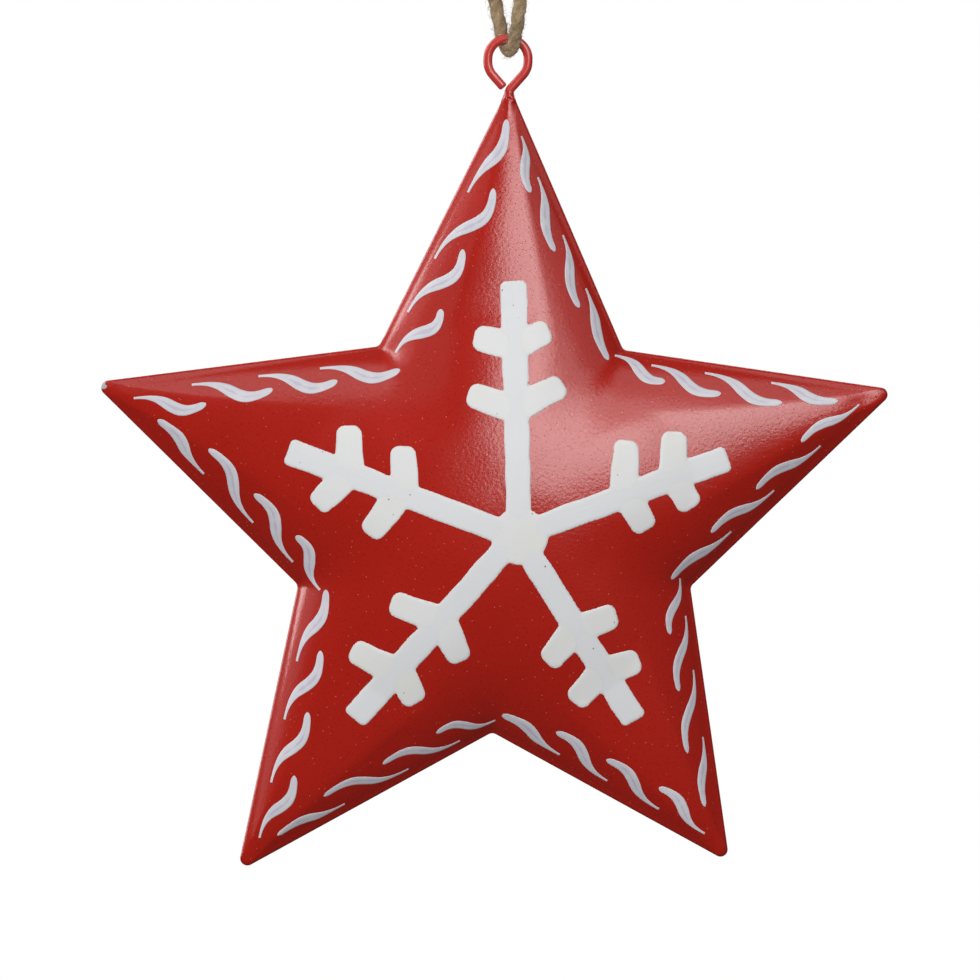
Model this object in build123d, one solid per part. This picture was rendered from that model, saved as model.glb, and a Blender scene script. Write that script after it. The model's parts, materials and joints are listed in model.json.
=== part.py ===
"""Puffed tin star ornament (hojalata): two pressed shells, a wire eye and a loop of jute twine.

Frame: X to the right of the painted front, Y away from the viewer, Z up.
Origin: the hang point, inside the top of the twine loop, where a hook or a twig carries it.
Sizes are in millimetres and degrees.
"""
import math
import os

from build123d import *

os.makedirs("parts", exist_ok=True)

# Star blank, snipped by hand. Arms and notches run clockwise from the top arm, seen from the front.
arm_count = 5
tip_reach = 70.4                                # star's centre to a sharp tip, before rounding
tip_reach_off = (1.1, -0.5, -1.4, 1.7, -0.6)    # what the snips left or took on each arm
tip_lean = (0.3, -1.6, -0.4, -2.0, -1.1)        # degrees that each arm leans off its even place
notch_reach = 34.6                              # star's centre to a notch
notch_reach_off = (0.6, -0.1, 0.7, -0.6, -0.5)
notch_lean = (-0.2, -0.8, -1.7, -2.7, 0.7)
corner_radius = 1.2                             # rounding of the cut tips and notches

# Pressed form of each half
sheet = 0.4                                     # tinplate thickness
lip_width = 0.45                                # flat rim left round the pressing
crown_height = 12.0                             # from the rim to the middle of the dome
crown_spread = 42.0                             # radius of the round dome that the arms grow from
crown_fullness = 0.8                            # 1 rises as a parabola, less gives steeper sides
ridge_round = 45.0                              # how fast a ridge softens towards the crown
ridge_power = 1.2
valley_round = 40.0                             # how fast a valley softens towards the crown
valley_power = 1.1
ridge_room = 0.65                               # most of a level's edge that the rounding of a ridge may take
valley_room = 0.3                               # and the rounding of a valley
press_steps = (1.0, 0.79, 0.66, 0.55, 0.45)     # levels of the pressing, 1 at the rim
crown_step = 0.34                               # level where the arms have died out and a round crown begins
ridge_share = 0.3                               # part of the crown's ring that each ridge or valley leads into
seam_film = 0.15                                # solder between the two rims

# Top tip, closed round the stem of the eye
tip_trim = 2.3                                  # cut back from the sharp tip
bore_clearance = 0.1                            # all round the stem, filled with solder
channel_length = 5.0                            # half-round bulge over the stem

# Wire eye
wire_diameter = 1.5
wire_sides = 12                                 # flats that stand for the round of the thin wire
eye_radius = 3.32                               # to the middle of the wire
eye_side = 0.5                                  # straight stretch at each side of the ring
eye_rise = 6.8                                  # trimmed tip to the middle of the ring
neck_turn = 40.0                                # how far the ring closes in on its stem side
free_turn = 43.0                                # and on its open side
neck_bend_radius = 1.5
open_gap = 0.15                                 # between the cut end and the neck
stem_depth = 12.0                               # stem inside the star, below the trimmed tip

# Solder at the root of the eye
solder_rise = 0.9
solder_depth = 3.0
fit_gap = 0.02                                  # keeps solder, wire and tin from sharing a face

# Paint, brushed on thick enough to stand proud
paint_thickness = 0.15
paint_gap = 0.03
flake_hub = (4.5, -2.7)                         # middle of the snowflake, from the star's centre
flake_hub_radius = 4.3
flake_stroke = 4.2                              # width of the flat brush
flake_arm_angle = (-3.1, 68.0, 145.8, 219.6, 287.9)
flake_arm_length = (41.9, 36.5, 35.7, 40.5, 40.6)
flake_inner_branch = (20.7, 19.0, 18.0, 18.7, 20.5)    # hub to the first pair of side strokes, arm by arm
flake_outer_branch = (31.1, 27.5, 26.2, 29.6, 29.9)    # and to the second pair
flake_branch_length = 7.4
flake_branch_splay = 71.0                       # degrees between an arm and its side strokes
dashes_per_edge = 4
dash_width = 1.9
dash_overlap = 1.08                             # length of a dash, in pitches
dash_tip_clear = 8.5                            # bare stretch beside each tip
dash_inset_start = 1.8                          # from the cut edge, where the brush lands
dash_inset_end = 4.4                            # and where it lifts

# Jute twine
twine_diameter = 2.0
twine_sides = 8                                 # flats round the soft twine
hang_drop = 51.0                                # hang point to the middle of the eye
bight_clearance = 0.2                           # between the wire and the twine round it
knot_radius = 2.6
knot_height = 6.2
knot_edge_cut = 0.45
turn_radius = 2.4                               # the two turns of the knot, to the middle of the twine
turn_tilt = 16.0
turn_offset = 1.15                              # each turn's distance from the knot's middle

# Worked out from the sizes above
wire_radius = wire_diameter / 2
twine_radius = twine_diameter / 2
bore_radius = wire_radius + bore_clearance
channel_radius = bore_radius + sheet
half_depth = sheet + crown_height + seam_film / 2
trim_reach = tip_reach + tip_reach_off[0] - tip_trim
stem_x = trim_reach * math.tan(math.radians(tip_lean[0]))
eye_z = -hang_drop
trim_z = eye_z - eye_rise
star_z = trim_z - trim_reach
bight_z = eye_z + eye_radius - wire_radius - bight_clearance - twine_radius
bight_half = wire_radius + bight_clearance + twine_radius

# Route of the twine, from the knot down the front leg, under the eye's wire and up behind it.
# Each point is x, y and the height above the middle of the eye.
front_leg = [
    (0.65, 0.0, 56.2),
    (0.65, 0.0, 53.5),
    (2.3, -0.2, 49.0),
    (4.4, -0.6, 41.0),
    (4.9, -1.0, 30.0),
    (3.2, -1.5, 17.5),
]
back_leg = [
    (-3.8, 1.5, 17.5),
    (-5.7, 1.0, 30.0),
    (-5.1, 0.6, 41.0),
    (-3.1, 0.2, 49.0),
    (-1.45, 0.0, 53.5),
    (-1.45, 0.0, 56.2),
]
bight_front_x = 0.3
bight_back_x = -1.08
# Each free end above the knot, as heights above the knot's top
front_tail = [(0.65, 0.0, 0.0), (0.65, 0.0, 2.2), (1.9, -0.5, 6.0), (4.2, -0.8, 9.6)]
back_tail = [(-1.45, 0.0, 0.0), (-1.45, 0.0, 2.2), (-2.3, 0.5, 5.6), (-3.4, 0.6, 8.6)]


def on_star(reach, clockwise):
    """A point of the flat blank, by its reach from the centre and its angle from straight up."""
    angle = math.radians(clockwise)
    return Vector(reach * math.sin(angle), reach * math.cos(angle))


def star_corners():
    """Sharp corners of the blank: a tip, then the notch after it, five times clockwise."""
    pitch = 360 / arm_count
    corners = []
    for arm in range(arm_count):
        tip_angle = arm * pitch + tip_lean[arm]
        notch_angle = (arm + 0.5) * pitch + notch_lean[arm]
        corners.append(on_star(tip_reach + tip_reach_off[arm], tip_angle))
        corners.append(on_star(notch_reach + notch_reach_off[arm], notch_angle))
    return corners


def inset_corners(corners, distance):
    """The same outline with every edge moved inward by one distance."""
    edges = []
    for start, end in zip(corners, corners[1:] + corners[:1]):
        along = (end - start).normalized()
        inward = Vector(along.Y, -along.X)
        edges.append((start + inward * distance, along))
    moved = []
    for (point, along), (other, other_along) in zip(edges[-1:] + edges[:-1], edges):
        between = other - point
        turn = along.X * other_along.Y - along.Y * other_along.X
        reach = (between.X * other_along.Y - between.Y * other_along.X) / turn
        moved.append(point + along * reach)
    return moved


def rounded_outline(corners, tip_radius, notch_radius):
    """Closed outline through the corners, with an arc at each tip and each notch."""
    return FilletPolyline(*corners, radius=[tip_radius, notch_radius] * arm_count, close=True)


def press_height(step):
    """Height of the outer skin at one level: step is 1 at the rim and 0 in the middle of the crown."""
    return sheet + crown_height * (1 - step**2) ** crown_fullness


def level_corners(rim, step):
    """Sharp corners of one level of the pressing, between the star of the rim and a plain circle."""
    corners = []
    for corner in rim:
        reach = step * ((1 - step) * crown_spread + step * corner.length)
        corners.append(corner.normalized() * reach + Vector(0, 0, press_height(step)))
    return corners


def softened(corners, first, radius, room):
    """The radius, or less where a level's edges leave less room: ridges are first 0 and valleys first 1."""
    radii = [radius]
    for place in range(first, len(corners), 2):
        corner = corners[place]
        before = corner - corners[place - 1]
        after = corners[(place + 1) % len(corners)] - corner
        half_turn = math.radians(before.get_angle(after)) / 2
        radii.append(room * min(before.length, after.length) / math.tan(half_turn))
    return min(radii)


def press_section(rim, step):
    """Outline of one level of the outer skin."""
    corners = level_corners(rim, step)
    ridge = softened(corners, 0, corner_radius + ridge_round * (1 - step) ** ridge_power, ridge_room)
    valley = softened(corners, 1, corner_radius + valley_round * (1 - step) ** valley_power, valley_room)
    return Wire(rounded_outline(corners, ridge, valley).edges())


def hollow_section(rim, step):
    """Outline of one level inside the shell, with sharp valleys and each ridge in two straight cuts."""
    corners = level_corners(rim, step)
    ridge = softened(corners, 0, corner_radius + ridge_round * (1 - step) ** ridge_power, ridge_room)
    points = []
    for place, corner in enumerate(corners):
        if place % 2:
            points.append(corner)
            continue
        before = corners[place - 1] - corner
        after = corners[place + 1] - corner
        half_angle = math.radians(before.get_angle(after)) / 2
        inward = (before.normalized() + after.normalized()).normalized()
        cut = ridge / math.tan(half_angle)
        points.append(corner + before.normalized() * cut)
        points.append(corner + inward * ridge * (1 / math.sin(half_angle) - 1))
        points.append(corner + after.normalized() * cut)
    return Wire(Polyline(*points, close=True).edges())


def crown_cuts(rim):
    """Angles that share the crown's ring out among the ridges, the valleys and the flanks between them."""
    angles = [math.degrees(math.atan2(corner.X, corner.Y)) for corner in rim]
    cuts = []
    for before, angle, after in zip(angles[-1:] + angles[:-1], angles, angles[1:] + angles[:1]):
        cuts.append(angle - ridge_share * ((angle - before) % 360))
        cuts.append(angle + ridge_share * ((after - angle) % 360))
    return cuts


def crown_ring(rim):
    """Circle where the crown begins, in as many arcs as a level has arcs and lines."""
    radius = crown_spread * crown_step
    cuts = crown_cuts(rim)
    lift = Vector(0, 0, press_height(crown_step))
    arcs = []
    for start, end in zip(cuts, cuts[1:] + cuts[:1]):
        middle = start + ((end - start) % 360) / 2
        arcs.append(ThreePointArc(*[on_star(radius, angle) + lift for angle in (start, middle, end)]))
    return Wire(arcs)


def crown_cap():
    """Shallow piece of a ball that closes the crown."""
    radius = crown_spread * crown_step
    rise = press_height(0) - press_height(crown_step)
    ball_radius = (radius**2 + rise**2) / (2 * rise)
    ball = Pos(0, 0, sheet + crown_height - ball_radius) * Sphere(ball_radius)
    above_ring = Pos(0, 0, press_height(crown_step)) * Box(
        4 * radius, 4 * radius, 2 * rise, align=(Align.CENTER, Align.CENTER, Align.MIN)
    )
    return ball & above_ring


def pressed_dome(corners):
    """Solid under the outer skin of the pressing, lofted from the rim up to the round crown."""
    rim = inset_corners(corners, lip_width)
    sections = [press_section(rim, step) for step in press_steps]
    return Solid.make_loft(sections + [crown_ring(rim)], ruled=True) + crown_cap()


def pressed_hollow(corners):
    """Space inside the pressing, one sheet or a little more below the outer skin."""
    rim = inset_corners(corners, lip_width)
    angles = [math.degrees(math.atan2(corner.X, corner.Y)) for corner in rim]
    cuts = crown_cuts(rim)
    ring_angles = []
    for place, angle in enumerate(angles):
        ring_angles += [angle] if place % 2 else [cuts[2 * place], angle, cuts[2 * place + 1]]
    lift = Vector(0, 0, press_height(crown_step))
    ring = Polyline(*[on_star(crown_spread * crown_step, angle) + lift for angle in ring_angles], close=True)
    sections = [hollow_section(rim, step) for step in press_steps] + [Wire(ring.edges())]
    return Pos(0, 0, -sheet) * (Solid.make_loft(sections, ruled=True) + crown_cap())


def make_shell(corners, dome):
    """One half of the star, lying face up with its rim on the plane of the seam film."""
    rim_plate = extrude(make_face(rounded_outline(corners, corner_radius, corner_radius)), sheet)
    stem_axis = Pos(stem_x, trim_reach, 0) * Rot(X=90)
    channel = stem_axis * Cylinder(channel_radius, channel_length, align=(Align.CENTER, Align.CENTER, Align.MIN))
    upper_half = Pos(stem_x, trim_reach, 0) * Box(
        4 * channel_radius, 4 * channel_length, 2 * channel_radius, align=(Align.CENTER, Align.CENTER, Align.MIN)
    )
    bore = stem_axis * Cylinder(bore_radius, 2 * stem_depth)
    beyond_trim = Pos(0, trim_reach, 0) * Box(
        2 * tip_reach, tip_reach, 2 * crown_height, align=(Align.CENTER, Align.MIN, Align.CENTER)
    )
    hollow = pressed_hollow(corners)
    return rim_plate + dome + (channel & upper_half) - hollow - bore - beyond_trim


def make_seam(corners):
    """Film of solder that joins the two rims all the way round."""
    outer = make_face(rounded_outline(corners, corner_radius, corner_radius))
    inner = make_face(rounded_outline(inset_corners(corners, lip_width), corner_radius, corner_radius))
    film_half = seam_film / 2 - fit_gap
    film = extrude(outer - inner, film_half, both=True)
    bore = Pos(stem_x, trim_reach, 0) * Rot(X=90) * Cylinder(bore_radius, 2 * stem_depth)
    beyond_trim = Pos(0, trim_reach, 0) * Box(
        2 * tip_reach, tip_reach, 2 * crown_height, align=(Align.CENTER, Align.MIN, Align.CENTER)
    )
    return film - bore - beyond_trim


def brush_stroke(start, end, width):
    """Flat stroke of one width between two points of the blank."""
    along = end - start
    angle = math.degrees(math.atan2(along.Y, along.X))
    middle = (start + end) * 0.5
    return Pos(middle.X, middle.Y) * Rot(Z=angle) * Rectangle(along.length, width)


def snowflake_outline():
    """Snowflake seen square on: a hub, five arms and two pairs of side strokes on each arm."""
    hub = Vector(*flake_hub)
    outline = Pos(*flake_hub) * Circle(flake_hub_radius)
    arms = zip(flake_arm_angle, flake_arm_length, flake_inner_branch, flake_outer_branch)
    for angle, length, inner, outer in arms:
        outline += brush_stroke(hub, hub + on_star(length, angle), flake_stroke)
        for distance in (inner, outer):
            root = hub + on_star(distance, angle)
            for side in (-1, 1):
                tip = root + on_star(flake_branch_length, angle + side * flake_branch_splay)
                outline += brush_stroke(root, tip, flake_stroke)
    return outline


def dash_outline(edge_start, edge_end, from_edge_start):
    """One S-shaped dash of the border: it lands near the edge and drifts inward as it runs clockwise."""
    along = (edge_end - edge_start).normalized()
    inward = Vector(along.Y, -along.X)
    pitch = ((edge_end - edge_start).length - dash_tip_clear) / dashes_per_edge
    length = pitch * dash_overlap
    start = edge_start + along * from_edge_start + inward * dash_inset_start
    end = edge_start + along * (from_edge_start + length) + inward * dash_inset_end
    landing = start + along * length / 2
    lifting = end - along * length / 2
    swell = inward * dash_width / 1.5
    outer = Bezier(start, landing - swell, lifting - swell, end)
    inner = Bezier(end, lifting + swell, landing + swell, start)
    return make_face([outer, inner])


def border_outlines(corners):
    """All the dashes, four beside each cut edge."""
    outlines = Sketch()
    for place, (start, end) in enumerate(zip(corners, corners[1:] + corners[:1])):
        first = dash_tip_clear if place % 2 == 0 else 0
        pitch = ((end - start).length - dash_tip_clear) / dashes_per_edge
        for dash in range(dashes_per_edge):
            outlines += dash_outline(start, end, first + dash * pitch)
    return outlines


def paint_on(dome, outline):
    """Coat of paint over part of the dome: the outline carried up to the skin of the pressing."""
    column = extrude(outline, half_depth * 2)
    coat_outside = Pos(0, 0, paint_gap + paint_thickness) * dome
    coat_inside = Pos(0, 0, paint_gap) * dome
    return (column & coat_outside) - coat_inside


def make_eye():
    """Ring of wire with its free end beside the neck, and a stem that runs down inside the top arm."""
    free = math.radians(free_turn)
    neck = math.radians(neck_turn)
    free_tangent = Vector(-eye_radius * math.cos(free), -eye_side - eye_radius * math.sin(free))
    neck_tangent = Vector(eye_radius * math.cos(neck), -eye_side - eye_radius * math.sin(neck))
    free_along = Vector(math.sin(free), -math.cos(free))
    neck_along = Vector(-math.sin(neck), -math.cos(neck))
    neck_side = Vector(-math.cos(neck), math.sin(neck))
    end_corner = free_tangent + Vector(math.cos(free), math.sin(free)) * wire_radius
    room = (end_corner - neck_tangent).dot(neck_side) - wire_radius - open_gap
    free_leg = room / -free_along.dot(neck_side)
    neck_leg = (neck_tangent.X - stem_x) / math.sin(neck) - neck_bend_radius * math.tan(neck / 2)
    free_end = free_tangent + free_along * free_leg
    free_line = Line(free_end, free_tangent)
    free_arc = JernArc(free_line @ 1, free_line % 1, eye_radius, -free_turn)
    left_side = Line(free_arc @ 1, (free_arc @ 1) + Vector(0, eye_side))
    top_arc = JernArc(left_side @ 1, left_side % 1, eye_radius, -180)
    right_side = Line(top_arc @ 1, (top_arc @ 1) - Vector(0, eye_side))
    neck_arc = JernArc(right_side @ 1, right_side % 1, eye_radius, -neck_turn)
    neck_line = Line(neck_arc @ 1, (neck_arc @ 1) + neck_along * neck_leg)
    bend = JernArc(neck_line @ 1, neck_line % 1, neck_bend_radius, neck_turn)
    stem = Line(bend @ 1, Vector((bend @ 1).X, -eye_rise - stem_depth))
    flat_path = Wire([free_line, free_arc, left_side, top_arc, right_side, neck_arc, neck_line, bend, stem])
    path = Pos(0, 0, eye_z) * Rot(X=90) * flat_path
    section = Plane(origin=path @ 0, z_dir=path % 0) * RegularPolygon(wire_radius, wire_sides)
    return sweep(section, path)


def make_eye_solder():
    """Sleeve of solder down the bore, with a small cone standing on the trimmed tip."""
    inside = wire_radius + fit_gap
    profile = Polyline(
        (inside, -solder_depth),
        (bore_radius - fit_gap, -solder_depth),
        (bore_radius - fit_gap, fit_gap),
        (channel_radius, fit_gap),
        (inside + sheet / 4, solder_rise),
        (inside, solder_rise),
        close=True,
    )
    sleeve = revolve(Plane.XZ * make_face(profile), Axis.Z)
    return Pos(stem_x, 0, trim_z) * sleeve


def twine_tube(points, name):
    """Tube along straight runs joined by tangent arcs, each as wide as its two runs allow."""
    points = [Vector(*point) for point in points]
    runs = [after - before for before, after in zip(points, points[1:])]
    radii = []
    for before, after in zip(runs, runs[1:]):
        half_turn = math.radians(before.get_angle(after)) / 2
        radii.append(0.45 * min(before.length, after.length) / math.tan(half_turn))
    path = FilletPolyline(*points, radius=radii)
    section = Plane(origin=path @ 0, z_dir=path % 0) * RegularPolygon(twine_radius, twine_sides)
    tube = sweep(section, path)
    expected = section.area * path.length
    print(f"{name}: {path.length:.1f} mm long, radii", [round(radius, 1) for radius in radii])
    print(f"{name}: volume {tube.volume:.1f}, section times length {expected:.1f}")
    return tube


def above_eye(point):
    return (point[0], point[1], eye_z + point[2])


def make_twine_loop():
    """The loop: front leg, bight under the wire of the eye, back leg."""
    bight = [(bight_front_x, -bight_half, bight_z), (bight_back_x, bight_half, bight_z)]
    route = [above_eye(point) for point in front_leg] + bight + [above_eye(point) for point in back_leg]
    return twine_tube(route, "twine loop")


def make_twine_knot():
    """Both ends tied together: a core with two slanting turns of twine round it."""
    middle_x = (front_leg[0][0] + back_leg[-1][0]) / 2
    core = Cylinder(knot_radius, knot_height)
    core = chamfer(core.edges().filter_by(GeomType.CIRCLE), knot_edge_cut)
    turn_section = Plane.XZ * Pos(turn_radius, 0) * RegularPolygon(twine_radius, twine_sides)
    turn = Rot(Y=turn_tilt) * revolve(turn_section, Axis.Z)
    lower_turn = Pos(0, 0, -turn_offset) * turn
    upper_turn = Pos(0, 0, turn_offset) * turn
    knot = core + lower_turn + upper_turn
    return Pos(middle_x, 0, eye_z + front_leg[0][2] + knot_height / 2) * knot


def make_twine_tails():
    """The two cut ends that stand out of the top of the knot."""
    knot_top = eye_z + front_leg[0][2] + knot_height
    tails = []
    for name, route in (("front tail", front_tail), ("back tail", back_tail)):
        raised = [(x, y, knot_top + height) for x, y, height in route]
        tails.append(twine_tube(raised, name))
    return Compound(children=tails)


def stand_up(shape):
    """From lying face up on the seam plane to standing with the face towards the viewer."""
    return Pos(0, 0, star_z) * Rot(X=90) * shape


corners = star_corners()
dome = pressed_dome(corners)
shell = Pos(0, 0, seam_film / 2) * make_shell(corners, dome)
raised_dome = Pos(0, 0, seam_film / 2) * dome

export_step(stand_up(shell), "parts/front_shell.step")
export_step(stand_up(mirror(shell, about=Plane.XY)), "parts/back_shell.step")
export_step(stand_up(make_seam(corners)), "parts/seam_solder.step")
export_step(make_eye(), "parts/hanging_eye.step")
export_step(make_eye_solder(), "parts/eye_solder.step")
export_step(stand_up(paint_on(raised_dome, snowflake_outline())), "parts/snowflake_paint.step")
export_step(stand_up(paint_on(raised_dome, border_outlines(corners))), "parts/border_paint.step")
export_step(make_twine_loop(), "parts/twine_loop.step")
export_step(make_twine_knot(), "parts/twine_knot.step")
export_step(make_twine_tails(), "parts/twine_tails.step")
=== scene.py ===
# %% [markdown]
# # A pressed tin star on jute twine
# The ornament is two tinplate stars, pressed into a puffed form, soldered rim to rim, dipped in red
# enamel and painted by hand in white. A bent wire eye stands in the top tip, and a loop of jute twine
# hangs in the eye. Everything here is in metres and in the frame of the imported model: X to the right, Y
# away, Z up.

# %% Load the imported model
import json
import math

import bpy
import numpy as np
from mathutils import Matrix, Vector


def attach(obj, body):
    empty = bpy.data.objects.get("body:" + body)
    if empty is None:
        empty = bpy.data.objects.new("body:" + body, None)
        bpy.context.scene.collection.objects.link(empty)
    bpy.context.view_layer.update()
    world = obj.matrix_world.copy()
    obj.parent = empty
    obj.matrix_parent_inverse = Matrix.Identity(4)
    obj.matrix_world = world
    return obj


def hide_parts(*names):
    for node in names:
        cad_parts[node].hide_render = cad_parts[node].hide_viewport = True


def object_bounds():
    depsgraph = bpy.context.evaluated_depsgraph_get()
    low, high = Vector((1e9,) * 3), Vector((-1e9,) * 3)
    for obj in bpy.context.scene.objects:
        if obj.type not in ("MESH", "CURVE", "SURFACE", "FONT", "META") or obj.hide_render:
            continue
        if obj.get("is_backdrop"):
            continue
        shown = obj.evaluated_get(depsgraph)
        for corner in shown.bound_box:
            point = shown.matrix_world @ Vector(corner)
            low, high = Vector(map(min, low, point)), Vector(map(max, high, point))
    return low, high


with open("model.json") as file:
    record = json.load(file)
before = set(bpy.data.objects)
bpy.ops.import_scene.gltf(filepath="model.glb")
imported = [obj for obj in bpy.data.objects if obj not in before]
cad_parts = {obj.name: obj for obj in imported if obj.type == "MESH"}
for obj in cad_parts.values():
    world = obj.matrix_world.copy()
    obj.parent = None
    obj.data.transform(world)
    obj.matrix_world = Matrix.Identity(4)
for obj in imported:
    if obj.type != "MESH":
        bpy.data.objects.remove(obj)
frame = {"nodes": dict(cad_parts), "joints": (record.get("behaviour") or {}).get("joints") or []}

cad_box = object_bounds()
scene = bpy.context.scene
mm = 0.001
print("nodes:", sorted(frame["nodes"]))

# %% [markdown]
# ## Where things are
# The star swings on the ring of its eye, so the joint's place is the middle of that ring. The star's
# own middle lies straight below it. Pieces of the star are first made lying flat, face up, as on a
# bench, with X and Y in the plane of the rim; one matrix then stands them up. That keeps every shape in
# plain two-dimensional sizes.

# %% Places taken from the frame
eye_middle = Vector(frame["joints"][0]["pos_m"])
eye_rise = 6.8 * mm                 # trimmed top tip to the middle of the ring
trim_reach = 69.2 * mm              # star's middle to the trimmed tip
star_middle = eye_middle - Vector((0, 0, eye_rise + trim_reach))
face_front = Matrix(((1, 0, 0, 0), (0, 0, -1, 0), (0, 1, 0, star_middle.z), (0, 0, 0, 1)))
face_back = Matrix(((1, 0, 0, 0), (0, 0, 1, 0), (0, 1, 0, star_middle.z), (0, 0, 0, 1)))
print("star's middle:", [round(value / mm, 2) for value in star_middle], "mm")

# %% [markdown]
# ## Camera
# The photograph looks straight at the star from far away with a long lens, and it is turned by about
# two degrees. A pixel of it is 0.165 mm at the rim. A long lens at 0.9 m keeps that size and almost no
# perspective.

# %% Camera
photo_pixels = 980
pixel = 0.16518 * mm                # size of a pixel at the rim
photo_turn = math.radians(1.88)
star_pixel = (492.9, 518.5)         # where the star's middle is in the photograph
camera_distance = 0.9

across_pixels = photo_pixels / 2 - star_pixel[0]
down_pixels = photo_pixels / 2 - star_pixel[1]
aim_right = (across_pixels * math.cos(photo_turn) + down_pixels * math.sin(photo_turn)) * pixel
aim_up = (across_pixels * math.sin(photo_turn) - down_pixels * math.cos(photo_turn)) * pixel
camera_data = bpy.data.cameras.new("camera")
camera_data.sensor_width = 36
camera_data.lens = camera_data.sensor_width * camera_distance / (photo_pixels * pixel)
camera = bpy.data.objects.new("camera", camera_data)
camera.location = star_middle + Vector((aim_right, -camera_distance, aim_up))
camera.rotation_euler = (math.pi / 2, -photo_turn, 0)
scene.collection.objects.link(camera)
scene.camera = camera
print("lens:", round(camera_data.lens, 1), "mm")

# %% [markdown]
# ## Writing node trees
# The world, the finishes and the Geometry Nodes are all trees of nodes. They could be drawn by hand in
# the node editor; written out, they can be read and changed. `put` adds a node and sets its properties
# and sockets in one line, and three short helpers do the sums that come up everywhere.

# %% Nodes and sums
def put(tree, kind, inputs=None, **settings):
    """Add a node: settings are its properties, inputs are values or links for its sockets."""
    node = tree.nodes.new(kind)
    for name, value in settings.items():
        setattr(node, name, value)
    for name, value in (inputs or {}).items():
        if isinstance(value, bpy.types.NodeSocket):
            tree.links.new(value, node.inputs[name])
        else:
            node.inputs[name].default_value = value
    return node


def maths(tree, operation, first, second=0.0):
    return put(tree, "ShaderNodeMath", {0: first, 1: second}, operation=operation).outputs[0]


def vectors(tree, operation, first, second):
    return put(tree, "ShaderNodeVectorMath", {0: first, 1: second}, operation=operation).outputs[0]


def mapped(tree, value, low, high, first, last, **settings):
    """Carry a value from the range low to high over to the range first to last, and keep it inside."""
    ends = {"Value": value, "From Min": low, "From Max": high, "To Min": first, "To Max": last}
    return put(tree, "ShaderNodeMapRange", ends, **settings).outputs["Result"]


print("helpers:", put.__name__, maths.__name__, vectors.__name__, mapped.__name__)

# %% [markdown]
# ## Room and floor
# The world is white where the camera looks at it and dim where the enamel would mirror it, because a
# studio is dark behind its lights. The floor is a disc of pale paper well below the star; it neither
# shows in the enamel nor shades it, so it can lie there without changing the picture.

# %% World and floor
scene.view_settings.view_transform = "Standard"
room_glow = 0.055
floor_drop = 0.30
floor_radius = 0.60
floor_sides = 96


def new_finish(name, **values):
    """A new material, its node tree and its shader, with some of the shader's own sockets set."""
    finish = bpy.data.materials.new(name)
    finish.use_nodes = True
    shader = finish.node_tree.nodes["Principled BSDF"]
    for socket, value in values.items():
        shader.inputs[socket].default_value = value
    return finish, finish.node_tree, shader


def make_world():
    world = bpy.data.worlds.new("studio")
    world.use_nodes = True
    tree = world.node_tree
    seen = put(tree, "ShaderNodeLightPath").outputs["Is Camera Ray"]
    glow = mapped(tree, seen, 0.0, 1.0, room_glow, 1.0)
    tree.links.new(glow, tree.nodes["Background"].inputs["Strength"])
    tree.nodes["Background"].inputs["Color"].default_value = (1, 1, 1, 1)
    scene.world = world


def make_floor():
    turns = [2 * math.pi * side / floor_sides for side in range(floor_sides)]
    points = [(floor_radius * math.cos(a), floor_radius * math.sin(a), -floor_drop) for a in turns]
    mesh = bpy.data.meshes.new("floor")
    mesh.from_pydata(points, [], [tuple(range(floor_sides))])
    paper, tree, shader = new_finish("pale_paper", Roughness=0.9)
    grain = put(tree, "ShaderNodeTexNoise", {"Scale": 40.0, "Detail": 4.0}).outputs["Fac"]
    tree.links.new(mapped(tree, grain, 0.0, 1.0, 0.78, 0.82), shader.inputs["Base Color"])
    mesh.materials.append(paper)
    floor = bpy.data.objects.new("floor", mesh)
    scene.collection.objects.link(floor)
    floor.visible_glossy = False
    floor.visible_diffuse = False
    floor.visible_shadow = False
    floor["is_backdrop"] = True


make_world()
make_floor()
print("floor lies", round((star_middle.z + floor_drop) / mm), "mm below the star's middle")

# %% [markdown]
# ## Soft boxes
# What a glossy star looks like is mostly what it mirrors. The key is four soft boxes side by side, to
# the right of the camera and above it, the brightest nearest the camera: their mirror image is the
# highlight that fades away from the ridges. A weak box at the right, one overhead and two at the left
# give the other faces a sheen, a bright one further round draws a thin line on the left rims, and one
# behind lights the back. Two wide boxes at the left only lift the dull red and the white paint, so they
# are kept out of mirror images.

# %% Soft boxes
# name, degrees right of the camera and above it, distance, width, height and radiance of each box
soft_boxes = (
    ("key_light", 11, 20, 0.9, 0.32, 0.44, 4.5),
    ("key_middle", 27, 21, 0.9, 0.19, 0.44, 3.2),
    ("key_upper", 18, 43, 0.9, 0.40, 0.26, 1.9),
    ("key_side", 42, 27, 0.9, 0.28, 0.36, 1.4),
    ("right_light", 68, 30, 1.2, 0.7, 0.6, 0.4),
    ("top_light", -8, 70, 1.2, 1.2, 0.7, 0.8),
    ("left_light", -56, 36, 1.2, 1.1, 1.0, 0.24),
    ("far_left_light", -88, 25, 1.2, 0.4, 1.2, 0.45),
    ("rim_light", -118, 25, 1.2, 0.6, 1.2, 3.6),
    ("back_light", 165, 35, 1.2, 1.0, 0.8, 2.2),
)
dull_boxes = (
    ("fill_light", -38, 16, 1.2, 1.4, 1.2, 0.90),
    ("low_fill", -46, -24, 1.2, 1.6, 1.0, 1.00),
)


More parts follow.
